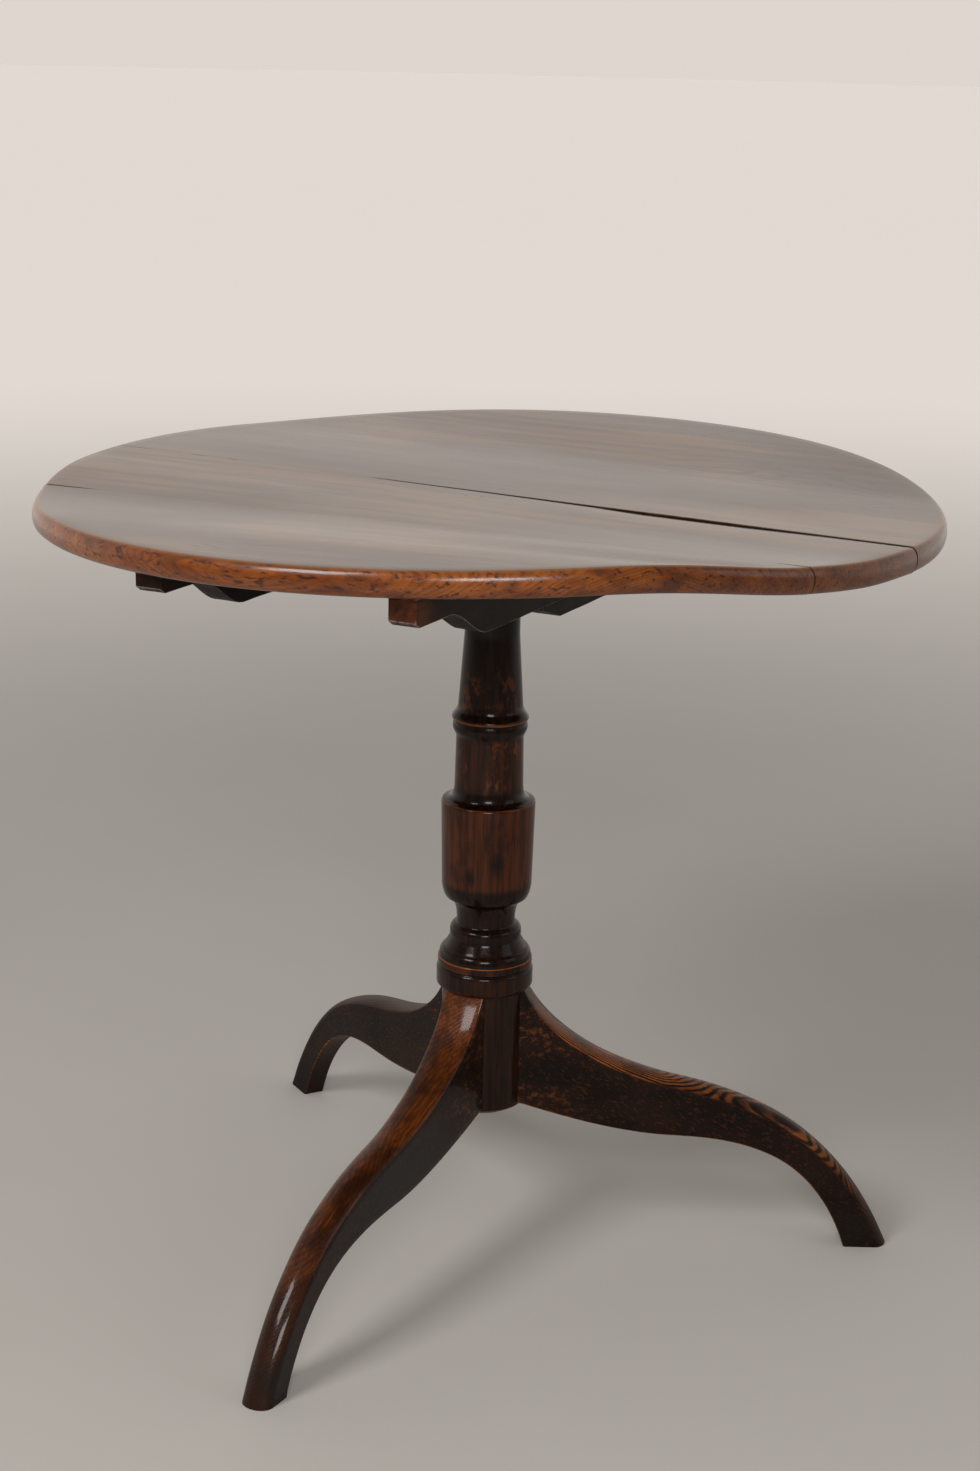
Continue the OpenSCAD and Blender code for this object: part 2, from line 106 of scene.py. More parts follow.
# %% Wires and nodes
class Wire:
    """One socket in a finish. Sums and products of wires add their own Math nodes."""

    def __init__(self, socket):
        self.socket = socket

    def node(self, kind, settings=None, sockets=None, output=0):
        """Adds a node: its settings first, then the values or wires of its sockets."""
        tree = self.socket.id_data
        made = tree.nodes.new("ShaderNode" + kind)
        for name, value in (settings or {}).items():
            if name == "stops":
                set_stops(made.color_ramp, value)
            else:
                setattr(made, name, value)
        for place, value in (sockets or {}).items():
            if isinstance(value, Wire):
                tree.links.new(value.socket, made.inputs[place])
            else:
                made.inputs[place].default_value = value
        if isinstance(output, (list, tuple)):
            return [Wire(made.outputs[name]) for name in output]
        return Wire(made.outputs[output]) if made.outputs else None

    def math(self, operation, *others):
        return self.node("Math", {"operation": operation}, dict(enumerate((self, *others))))

    def vector(self, operation, other=(0, 0, 0), output="Vector"):
        """Works on a whole place or direction. A length or a distance comes out as "Value"."""
        return self.node("VectorMath", {"operation": operation}, {0: self, 1: other}, output)

    def part(self, *axes):
        """One number of a place or a direction, or several when several axes are named."""
        return self.node("SeparateXYZ", {}, {0: self}, axes if len(axes) > 1 else axes[0])

    def __add__(self, other):
        return self.math("ADD", other)

    def __mul__(self, other):
        return self.math("MULTIPLY", other)

    def __sub__(self, other):
        return self.math("SUBTRACT", other)

    def __rsub__(self, other):
        return self.node("Math", {"operation": "SUBTRACT"}, {0: other, 1: self})

    def __truediv__(self, other):
        return self.math("DIVIDE", other)

    __radd__ = __add__
    __rmul__ = __mul__


def set_stops(ramp, stops):
    """Gives a colour ramp its stops, as (place, colour) pairs."""
    while len(ramp.elements) < len(stops):
        ramp.elements.new(1.0)
    for element, (place, color) in zip(ramp.elements, stops):
        element.position = place
        element.color = (*color, 1.0)


print("wires ready")

# %% [markdown]
# ## Words for wood
# Every finish here needs the same few ideas: a step that rises smoothly, a mix of two colours, a
# noise that is drawn out along the grain, and the yearly rings. The rings are built as they grow:
# each ring is a tube round the heart of the tree, and a board or a leg is a cut through those tubes.
# That gives stripes on an edge, flames on a face and an eye on a curve, all with one rule.

# %% Helpers for finishes
def new_finish(name):
    """An empty finish, and the wire that carries each point's place in metres."""
    material = bpy.data.materials.new(name)
    material.use_nodes = True
    material.node_tree.nodes.clear()
    place = material.node_tree.nodes.new("ShaderNodeTexCoord")
    return material, Wire(place.outputs["Object"]), Wire(place.outputs["Normal"])


def rise(wire, low, high):
    """0 below `low`, 1 above `high`, and a smooth rise between them."""
    return wire.node(
        "MapRange",
        {"interpolation_type": "SMOOTHSTEP"},
        {"Value": wire, "From Min": low, "From Max": high},
    )


def mix(share, first, second, blend="MIX"):
    """A mix of two colours: `first` where the share is 0, `second` where it is 1."""
    settings = {"data_type": "RGBA", "blend_type": blend}
    sockets = {0: share, 6: opaque(first), 7: opaque(second)}
    return share.node("Mix", settings, sockets, 2)


def opaque(color):
    return color if isinstance(color, Wire) else (*color, 1.0)


def drawn_out(place, stretch, turn=(0, 0, 0), shift=(0, 0, 0)):
    """The place, turned and then stretched, so that a noise on it follows the grain."""
    turned = place.node("Mapping", {}, {"Vector": place, "Location": shift, "Rotation": turn})
    return turned.node("Mapping", {}, {"Vector": turned, "Scale": stretch})


def cloud(place, scale, detail=2.0, rough=0.5, twist=0.0):
    """A soft random pattern between 0 and 1."""
    sockets = {"Vector": place, "Scale": scale, "Detail": detail, "Roughness": rough}
    return place.node("TexNoise", {}, {**sockets, "Distortion": twist})


def grained(place, stretch, detail=2.0, rough=0.5, twist=0.0, shift=(0, 0, 0)):
    """A soft random pattern that is drawn out along the grain."""
    return cloud(drawn_out(place, stretch, shift=shift), 1.0, detail, rough, twist)


def between(wire, start, full, fade, end):
    """1 between `full` and `fade`, falling to 0 at `start` and at `end`."""
    return rise(wire, start, full) * rise(wire, end, fade)


def coats(base, *layers):
    """Lays colours over a base, each given as its share and its colour."""
    for share, color in layers:
        base = mix(share, base, color)
    return base


def yearly_rings(place, heart, spacing, wander):
    """How far through its year the wood is, from 0 to 1, round a heart at (y, z)."""
    y, z = place.part("Y", "Z")
    aside, below = y - heart[0], z - heart[1]
    out = (aside * aside + below * below).math("SQRT")
    return ((out + wander) / spacing).math("FRACT")


def near(place, centre, reach):
    """1 at a spot, falling to 0 at `reach` from it."""
    return rise(place.vector("DISTANCE", centre, "Value"), reach, 0.15 * reach)


def surface(color, roughness, height, depth=0.2 * MM, **constants):
    """Joins colour, roughness and height to a shader, with what is the same all over."""
    normal = height.node("Bump", {}, {"Strength": 1.0, "Distance": depth, "Height": height})
    sockets = {"Base Color": color, "Roughness": roughness, "Normal": normal}
    for name, value in constants.items():
        sockets[name.replace("_", " ").title().replace("Ior", "IOR")] = value
    shader = height.node("BsdfPrincipled", {}, sockets, "BSDF")
    height.node("OutputMaterial", {}, {"Surface": shader})


def attribute(place, name):
    """A number that is stored on each point of a piece."""
    return place.node("Attribute", {"attribute_name": name}, {}, "Fac")


print("finish helpers ready")

# %% [markdown]
# ## The bench tools
# The pieces are made with Blender's own tools, as by hand. An operator works on all that is
# selected, so each tool here first selects the one piece that it works on. A line is drawn by
# extruding one corner from place to place. Spinning the line makes a turned piece, and filling and
# extruding it makes a sawn one. After each job the doubles are merged and the faces turned outward.

# %% Selecting, drawing, turning and sawing
def only(piece):
    """Selects one piece and nothing else."""
    bpy.ops.object.select_all(action="DESELECT")
    bpy.context.view_layer.objects.active = piece
    piece.select_set(True)


def open_edit(piece):
    only(piece)
    bpy.ops.object.mode_set(mode="EDIT")
    bpy.ops.mesh.select_mode(type="VERT")
    bpy.ops.mesh.select_all(action="SELECT")


def close_edit():
    """Merges doubles, turns the faces outward and leaves edit mode."""
    bpy.ops.mesh.select_all(action="SELECT")
    bpy.ops.mesh.remove_doubles(threshold=0.01 * MM)
    bpy.ops.mesh.normals_make_consistent(inside=False)
    bpy.ops.object.mode_set(mode="OBJECT")


def settle(piece):
    """Moves a piece's place, turn and size into its mesh."""
    only(piece)
    bpy.ops.object.transform_apply(location=True, rotation=True, scale=True)
    return piece


def basic(name, add_shape, **settings):
    """Adds one of Blender's basic shapes and names it."""
    bpy.ops.object.select_all(action="DESELECT")
    add_shape(**settings)
    bpy.context.object.name = name
    return bpy.context.object


def draw(name, points, filled=False):
    """A line drawn by extruding one corner from point to point."""
    piece = settle(basic(name, bpy.ops.mesh.primitive_plane_add, size=MM, location=points[0]))
    open_edit(piece)
    bpy.ops.mesh.merge(type="CENTER")
    here = Vector(points[0])
    for point in points[1:]:
        step = Vector(point) - here
        bpy.ops.mesh.extrude_region_move(TRANSFORM_OT_translate={"value": step})
        here = Vector(point)
    if filled:
        bpy.ops.mesh.select_all(action="SELECT")
        bpy.ops.mesh.edge_face_add()
    bpy.ops.object.mode_set(mode="OBJECT")
    return piece


def turn(name, outline, steps, centre=(0.0, 0.0)):
    """A turned piece: an outline of (radius, height) spun round an upright axis."""
    piece = draw(name, [(centre[0] + r, centre[1], z) for r, z in outline])
    open_edit(piece)
    bpy.ops.mesh.spin(steps=steps, angle=math.tau, center=(*centre, 0), axis=(0, 0, 1))
    close_edit()
    return piece


def saw(name, outline, start, end):
    """A sawn piece: an outline of (across, height), thickened along X from start to end."""
    piece = draw(name, [(start, y, z) for y, z in outline], filled=True)
    open_edit(piece)
    bpy.ops.mesh.extrude_region_move(TRANSFORM_OT_translate={"value": (end - start, 0, 0)})
    close_edit()
    return piece


def plank(name, low, high):
    """A block between two corners."""
    low, high = Vector(low), Vector(high)
    return settle(basic(name, bpy.ops.mesh.primitive_cube_add, size=1,
                        location=(low + high) / 2, scale=high - low))


def rod(name, start, length, radius, tip=None, steps=48):
    """An upright round rod from a point upwards, or a cone when `tip` gives its upper radius."""
    middle = Vector(start) + Vector((0, 0, length / 2))
    return settle(basic(name, bpy.ops.mesh.primitive_cone_add, vertices=steps, depth=length,
                        radius1=radius, radius2=radius if tip is None else tip, location=middle))


print("bench tools ready")

# %% [markdown]
# Cutting one shape with another is a Boolean, and a sharp edge is eased by a Bevel. Both are
# modifiers, and both are applied at once, so that the mesh itself carries the cut. No edge on an old
# table is sharp. A turn of the whole piece lays it along the grain of the top, which runs slantwise.

# %% Cutting, easing, joining and turning
def modify(piece, kind, **settings):
    """Gives a piece a modifier with its settings, and applies it at once."""
    modifier = piece.modifiers.new("step", kind)
    for name, value in settings.items():
        setattr(modifier, name, value)
    only(piece)
    bpy.ops.object.modifier_apply(modifier="step")


def carve(piece, tool, operation="DIFFERENCE"):
    """Cuts a tool's shape out of a piece, or joins it on, and removes the tool."""
    modify(piece, "BOOLEAN", operation=operation, solver="EXACT", object=tool)
    bpy.data.objects.remove(tool)


def ease_edges(piece, width, segments=2, angle=35):
    """Rounds every edge that turns by more than an angle."""
    modify(piece, "BEVEL", width=width, segments=segments, limit_method="ANGLE",
           angle_limit=math.radians(angle), use_clamp_overlap=True)


def cut_rows(piece, direction, places):
    """Cuts new rows of points through a piece, square to a direction."""
    direction = Vector(direction)
    open_edit(piece)
    for place in places:
        bpy.ops.mesh.select_all(action="SELECT")
        bpy.ops.mesh.bisect(plane_co=direction * place, plane_no=direction)
    close_edit()


def join(name, pieces):
    """Joins several pieces into the first one."""
    bpy.ops.object.select_all(action="DESELECT")
    for piece in pieces:
        piece.select_set(True)
    bpy.context.view_layer.objects.active = pieces[0]
    bpy.ops.object.join()
    pieces[0].name = name
    return pieces[0]


def copy_of(piece, name, shift=(0, 0, 0)):
    """A copy with its own mesh, moved by a step."""
    twin = piece.copy()
    twin.data = piece.data.copy()
    twin.name = name
    bpy.context.scene.collection.objects.link(twin)
    twin.location = shift
    return settle(twin)


def turned_by(piece, angle):
    """Turns a piece about the upright axis through the middle of the column."""
    piece.rotation_euler.z = angle
    return settle(piece)


def points_of(piece, what="co"):
    """The places of a piece's points, or the way that they face, one row each."""
    flat = np.empty(len(piece.data.vertices) * 3)
    piece.data.vertices.foreach_get(what, flat)
    return flat.reshape(-1, 3)


def put_points(piece, points):
    piece.data.vertices.foreach_set("co", points.astype(np.float32).ravel())
    piece.data.update()


print("cutting tools ready")

# %% [markdown]
# Two hundred years of hands and dusters rub the polish off the edges that stand out, and leave dirt
# and wax in the corners that lie deep. So each piece gets two numbers on every point: how much the
# surface bends outward there, and how much it bends inward. The finishes read these numbers.
# A last tool ties a piece to the body of the frame that it rides on, and hides the working piece that
# it replaces.

# %% Wear, unevenness and handing a piece over
def mark_wear(piece, sharp=400.0, spread=2):
    """Stores how much the surface bends out (worn) and in (sheltered) at each point."""
    mesh = piece.data
    points = points_of(piece)
    ends = np.empty(len(mesh.edges) * 2, int)
    mesh.edges.foreach_get("vertices", ends)
    a, b = ends.reshape(-1, 2).T
    normals = points_of(piece, "normal")
    step = points[b] - points[a]
    length2 = np.maximum((step ** 2).sum(1), 1e-10)
    ways = np.zeros(len(points))
    bend = np.zeros(len(points))
    for here, sign in ((a, 1.0), (b, -1.0)):
        drop = -sign * (step * normals[here]).sum(1) * 2 / length2
        np.add.at(bend, here, drop)
        np.add.at(ways, here, 1)
    ways = np.maximum(ways, 1)
    bend = bend / ways / sharp
    for name, value in (("worn", bend), ("sheltered", -bend)):
        value = np.clip(value, 0, 1)
        for _ in range(spread):
            total = value.copy()
            np.add.at(total, a, value[b])
            np.add.at(total, b, value[a])
            value = np.maximum(value * 0.75, total / (ways + 1))
        mesh.attributes.new(name, "FLOAT", "POINT").data.foreach_set("value", value)


def by_hand(piece, amount, size, along=(1, 1, 1), spare=None):
    """Gives a surface the small unevenness of hand work, always inward."""
    points, normals = points_of(piece), points_of(piece, "normal")
    scale = np.array(along) / size
    wave = np.array([noise.noise(Vector(p * scale)) for p in points])
    dent = amount * (0.5 + 0.5 * wave)
    if spare is not None:
        dent = dent * spare(points)
    put_points(piece, points - normals * dent[:, None])


def hand_over(piece, body, nodes, material, smooth=35):
    """Shades a finished piece, gives it its finish and ties it to the frame."""
    only(piece)
    bpy.ops.object.shade_smooth_by_angle(angle=math.radians(smooth))
    piece.data.materials.clear()
    piece.data.materials.append(material)
    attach(piece, body)
    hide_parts(*nodes)
    print(piece.name, "made:", len(piece.data.polygons), "faces")


print("wear tools ready")

# %% [markdown]
# ## The floor and the light
# The table stands on a plain pale floor. A large softbox high on the left gives the shapes their
# shadows, a second one near the viewer puts the long highlight on the rim and the polished legs, and
# a pale, even surround is what the waxed top mirrors. Seen from low in front, that mirrored
# paleness turns a brown top to a soft grey, just as a light wall behind it would. Far out, the floor
# glows a little, so that it runs into the surround without a line.

# %% Make the floor, the lights and the surround
def softbox(name, place, target, size, watts, color=(1.0, 0.98, 0.95)):
    """A soft square light that faces a point."""
    lamp = bpy.data.objects.new(name, bpy.data.lights.new(name, "AREA"))
    lamp.data.shape = "RECTANGLE"
    lamp.data.size, lamp.data.size_y = size
    lamp.data.energy = watts
    lamp.data.color = color
    lamp.location = place
    lamp.rotation_mode = "QUATERNION"
    lamp.rotation_quaternion = (Vector(target) - Vector(place)).to_track_quat("-Z", "Y")
    bpy.context.scene.collection.objects.link(lamp)


floor = basic("floor", bpy.ops.mesh.primitive_circle_add, vertices=96, radius=30,
              fill_type="NGON", location=(0, 0, 0))
floor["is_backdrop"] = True
floor_finish, place, _ = new_finish("pale_floor")
plaster = cloud(place, 3.0, 4)
away = place.vector("LENGTH", output="Value")
behind = place.part("Y") / away
far = rise(away, 0.9, 5.5) * rise(behind, -0.45, 0.45)
surface(mix(plaster, (0.58, 0.555, 0.52), (0.63, 0.605, 0.57)), plaster * 0.1 + 0.6,
        cloud(place, 120.0, 3), 0.1 * MM, specular_ior_level=0.1, emission_strength=1.0,
        emission_color=mix(far, (0.0, 0.0, 0.0), (0.535, 0.497, 0.46)))
floor.data.materials.append(floor_finish)

softbox("key_softbox", (-1.9, -1.7, 2.5), (0, 0, 0.4), (1.0, 1.0), 40)
softbox("front_softbox", (0.0, -3.1, 1.75), (0, 0, 0.45), (1.1, 0.65), 32)
softbox("side_fill", (2.6, -0.9, 1.7), (0, 0, 0.3), (1.4, 1.4), 5, (0.93, 0.96, 1.0))

surround = bpy.data.worlds.new("pale_surround")
surround.use_nodes = True
surround.node_tree.nodes.clear()
toward = Wire(surround.node_tree.nodes.new("ShaderNodeTexCoord").outputs["Generated"])
ahead, height = toward.part("Y", "Z")
wall = mix(rise(height, 0.05, 0.8), (0.735, 0.675, 0.622), (0.36, 0.35, 0.345))
shade = mix(rise(ahead, -0.45, 0.45), (0.19, 0.18, 0.17), wall)
glow = shade.node("Background", {}, {"Color": shade, "Strength": 1.0})
glow.node("OutputWorld", {}, {"Surface": glow})
bpy.context.scene.world = surround
bpy.context.scene.view_settings.view_transform = "Standard"
print("floor, three softboxes and the surround are in place")

# %% [markdown]
# ## The warped top
# The top was turned flat, as one disc of three boards. Since then the boards have shrunk and
# cupped: the middle lies more than a centimetre lower than the back edge, the front board is
# twisted, and the seams have torn open. A cylinder with a bevelled rim would give the disc, but
# spinning its outline gives even rows of points, which bend smoothly. So the outline of half a
# board's edge, an ellipse that is deeper than it is wide, is drawn and spun.

# %% Spin the flat disc
MID_X = -4.5 * MM
TOP_R = 382.85 * MM
TOP_Z = 700 * MM
BOARD_T = 21 * MM
RIM_ROUND = 6 * MM
RING_GAP = 9.4 * MM
RIM_POINTS = 18
DISC_STEPS = 256


def disc_outline():
    """From the middle of the upper face, round the rim, to the middle of the underside."""
    rings = list(np.arange(0, TOP_R - RIM_ROUND - RING_GAP / 2, RING_GAP))
    rim = []
    for k in range(RIM_POINTS + 1):
        angle = math.pi / 2 - math.pi * k / RIM_POINTS
        depth = BOARD_T / 2 * (1 - math.sin(angle))
        rim.append((TOP_R - RIM_ROUND * (1 - math.cos(angle)), TOP_Z - depth))
    under = [(r, TOP_Z - BOARD_T) for r in reversed(rings)]
    return [(r, TOP_Z) for r in rings] + rim + under


disc = turn("flat_disc", disc_outline(), DISC_STEPS, (MID_X, 0.0))
print("flat disc:", len(disc.data.polygons), "faces")

# %% [markdown]
# The grain of the boards runs slantwise, and so do the seams. Each seam is a straight line across
# the disc, given by its place in the middle and by its slope, because the middle board is wider at
# one end. A board is a copy of the disc with the wood beyond its seams bisected away. Along each
# seam a narrow strip gets extra rows of points, close enough together to tear the edge later.

# %% Saw the three boards from the disc
GRAIN = math.radians(-27)
ALONG = Vector((math.cos(GRAIN), math.sin(GRAIN), 0))
ACROSS = Vector((-math.sin(GRAIN), math.cos(GRAIN), 0))
BACK_SEAM = (-10.5 * MM, -0.015)
FRONT_SEAM = (-160.5 * MM, 0.0105)
SEAM_ROWS = [0.35 * MM, 1.2 * MM, 3 * MM, 6 * MM, 11 * MM]
STRIP = 3.2 * MM
TEAR_STEP = 2.5 * MM


def seam_at(seam, s):
    """How far back the seam lies, at a distance along the grain."""
    return seam[0] + seam[1] * s


def seam_plane(seam, shift):
    """A point on the seam and the direction square to it, for a cut parallel to it."""
    square = (ACROSS - ALONG * seam[1]).normalized()
    return ACROSS * seam[0] + square * shift, square


def grain_places(piece):
    """Each point's place along the grain, across it and upwards."""
    points = points_of(piece)
    return points @ np.array(ALONG), points @ np.array(ACROSS), points[:, 2]


def saw_off(piece, seam, keep_back):
    """Removes the wood on one side of a seam and closes the cut."""
    place, square = seam_plane(seam, 0)
    open_edit(piece)
    bpy.ops.mesh.bisect(plane_co=place, plane_no=square, use_fill=True,
                        clear_inner=keep_back, clear_outer=not keep_back)
    close_edit()


def refine_seam(piece, seam, side, start, end):
    """Adds rows along a seam, and close steps across them where the seam is open."""
    open_edit(piece)
    for row in SEAM_ROWS:
        bpy.ops.mesh.select_all(action="SELECT")
        place, square = seam_plane(seam, side * row)
        bpy.ops.mesh.bisect(plane_co=place, plane_no=square)
    bpy.ops.object.mode_set(mode="OBJECT")
    for face in piece.data.polygons:
        middle = face.center
        gap = (middle.dot(ACROSS) - seam_at(seam, middle.dot(ALONG))) * side
        face.select = gap < STRIP and start < middle.dot(ALONG) < end
    bpy.ops.object.mode_set(mode="EDIT")
    bpy.ops.mesh.select_mode(type="FACE")
    bpy.ops.mesh.hide(unselected=True)
    for s in np.arange(start, end, TEAR_STEP):
        bpy.ops.mesh.select_all(action="SELECT")
        bpy.ops.mesh.bisect(plane_co=ALONG * s, plane_no=ALONG)
    bpy.ops.mesh.reveal()
    bpy.ops.mesh.select_mode(type="VERT")
    close_edit()


back_board, middle_board, front_board = (
    copy_of(disc, name + "_board_aged") for name in ("back", "middle", "front"))
bpy.data.objects.remove(disc)
saw_off(back_board, BACK_SEAM, True)
saw_off(middle_board, BACK_SEAM, False)
saw_off(middle_board, FRONT_SEAM, True)
saw_off(front_board, FRONT_SEAM, False)
OPEN_FROM, ALL_ALONG = -120 * MM, 385 * MM
refine_seam(back_board, BACK_SEAM, 1, OPEN_FROM, ALL_ALONG)
refine_seam(middle_board, BACK_SEAM, -1, OPEN_FROM, ALL_ALONG)
for board, side in ((middle_board, 1), (front_board, -1)):
    refine_seam(board, FRONT_SEAM, side, -ALL_ALONG, -280 * MM)
    refine_seam(board, FRONT_SEAM, side, 290 * MM, ALL_ALONG)
for board in (back_board, middle_board, front_board):
    print(board.name, "sawn:", len(board.data.polygons), "faces")

# %% [markdown]
# Now the boards are aged. The warp is a smooth formula, the same one that the working model uses,
# and every point is moved up or down by it. A sculptor could push the surface about with a brush
# instead, but then the seams of two boards would no longer meet. The torn seams are opened by
# moving the points of the narrow strips apart, with a ragged edge where the wood has split.

# %% Warp the boards and open the seams
HOLLOW, BACK_RISE, FRONT_RISE = 11.5 * MM, 11.7 * MM, 8.5 * MM
FRONT_TWIST, BACK_TWIST = 0.038, 0.0082
HAIR = 0.03 * MM


def smooth_step(x):
    x = np.clip(x, 0, 1)
    return x * x * (3 - 2 * x)


def top_surface(s, t):
    """Height of the warped upper face, s along the grain and t across it."""
    back = BACK_RISE * smooth_step((t - 160 * MM) / (252 * MM))
    front = FRONT_RISE * smooth_step((-t - 160 * MM) / (137 * MM))
    front_turn = FRONT_TWIST * smooth_step((-t - 70 * MM) / (214 * MM))
    reach = np.clip((t - 110 * MM) / (260 * MM), -1, 1)
    back_turn = BACK_TWIST * np.cos(math.pi / 2 * reach) ** 2
    return TOP_Z - HOLLOW - HAIR + np.where(t > 0, back, front) + (front_turn - back_turn) * s


def ragged(s, size):
    """An uneven line between -1 and 1, the same on every run."""
    return np.array([noise.noise(Vector((x / size, 3.7, 1.3))) for x in s])


def along_seam(places, sizes):
    """A size that changes along the grain, from places and sizes in millimetres."""
    return lambda s: np.interp(s, np.array(places) * MM, np.array(sizes) * MM)


# Half the width of the torn back seam, and of the front seam, which gapes only at its two ends.
back_opening = along_seam([-118, -95, 0, 100, 135, 225, 300, 385],
                          [0.0, 0.5, 0.8, 0.9, 1.6, 1.5, 0.9, 1.1])
front_opening = along_seam([-385, -355, -290, 312, 340, 385], [1.3, 1.1, 0.0, 0.0, 0.6, 0.9])
# How far the middle board has sunk below the back board, along the torn seam.
step_down = along_seam([-110, 0, 100, 145, 225, 300, 385], [0.0, 0.3, 0.9, 1.7, 1.6, 0.8, 0.5])
PULL, SINK, LIP, LIP_DEPTH = 11.5 * MM, 26 * MM, 1.0 * MM, 0.35 * MM


def fade(gap, reach):
    """1 at a seam, curving down to 0 at a reach from it."""
    return np.clip(1 - gap / reach, 0, 1) ** 2


def age_board(board, seams):
    """Warps a board, eases its arrises at the seams and opens them."""
    s, t, z = grain_places(board)
    lift = top_surface(s, t) - TOP_Z
    middle = TOP_Z - BOARD_T / 2
    for seam, side, opening, torn in seams:
        gap = (t - seam_at(seam, s)) * side
        width = opening(s)
        if torn:
            starts = np.clip((s - 90 * MM) / (50 * MM), 0, 1)
            tear = starts * np.clip((270 * MM - s) / (40 * MM), 0, 1)
            coarse, fine = ragged(s, 9 * MM), ragged(s + side, 3 * MM)
            width = width + tear * (0.5 * MM * (1 + coarse) + 0.3 * MM * fine)
        t = t + side * width * fade(gap, PULL)
        lip = fade(gap, LIP) * np.clip(width / (0.5 * MM), 0.1, 1)
        on_face = np.abs(z - middle) > BOARD_T / 2 - 0.1 * MM
        z = z - lip * LIP_DEPTH * np.sign(z - middle) * on_face
        if torn and side < 0:
            lift = lift - step_down(s) * fade(gap, SINK)
    points = np.outer(s, ALONG) + np.outer(t, ACROSS)
    points[:, 0] -= MID_X
    reach = np.linalg.norm(points, axis=1)
    points *= np.minimum(1, TOP_R / np.maximum(reach, MM))[:, None]
    points[:, 0] += MID_X
    points[:, 2] = z + lift
    put_points(board, points)


age_board(back_board, [(BACK_SEAM, 1, back_opening, True)])
age_board(middle_board, [(BACK_SEAM, -1, back_opening, True), (FRONT_SEAM, 1, front_opening, False)])
age_board(front_board, [(FRONT_SEAM, -1, front_opening, False)])
print("hollow of the top:", round(HOLLOW / MM, 1), "mm below the flat disc")

# %% [markdown]
# ## The finish of the elm boards
# Elm has bold yearly rings, short dark pores and, near a knot, a wild swirl. The rings come from one
# heart line below each board: the rim shows them end on, the face shows them as long flames. Wax
# and daylight have turned the face to a soft brown with smoky patches, while the rim, rubbed by
# every passer-by, glows orange. The underside was never polished. It is dry, grey and rough.

# %% Make the elm finish
GRAIN_TURN = (0, 0, -GRAIN)
RIM_FROM, RIM_TO = 0.9785, 0.9965
BACK_SWIRLS = [(100, 190, 60), (160, 200, 75), (228, 192, 80), (292, 150, 60)]
DARK_SPOTS = [(-101, -243, 3.4), (148, 281, 3.0)]
SLITS = [(-365, 22), (-295, 11), (-259, 7)]


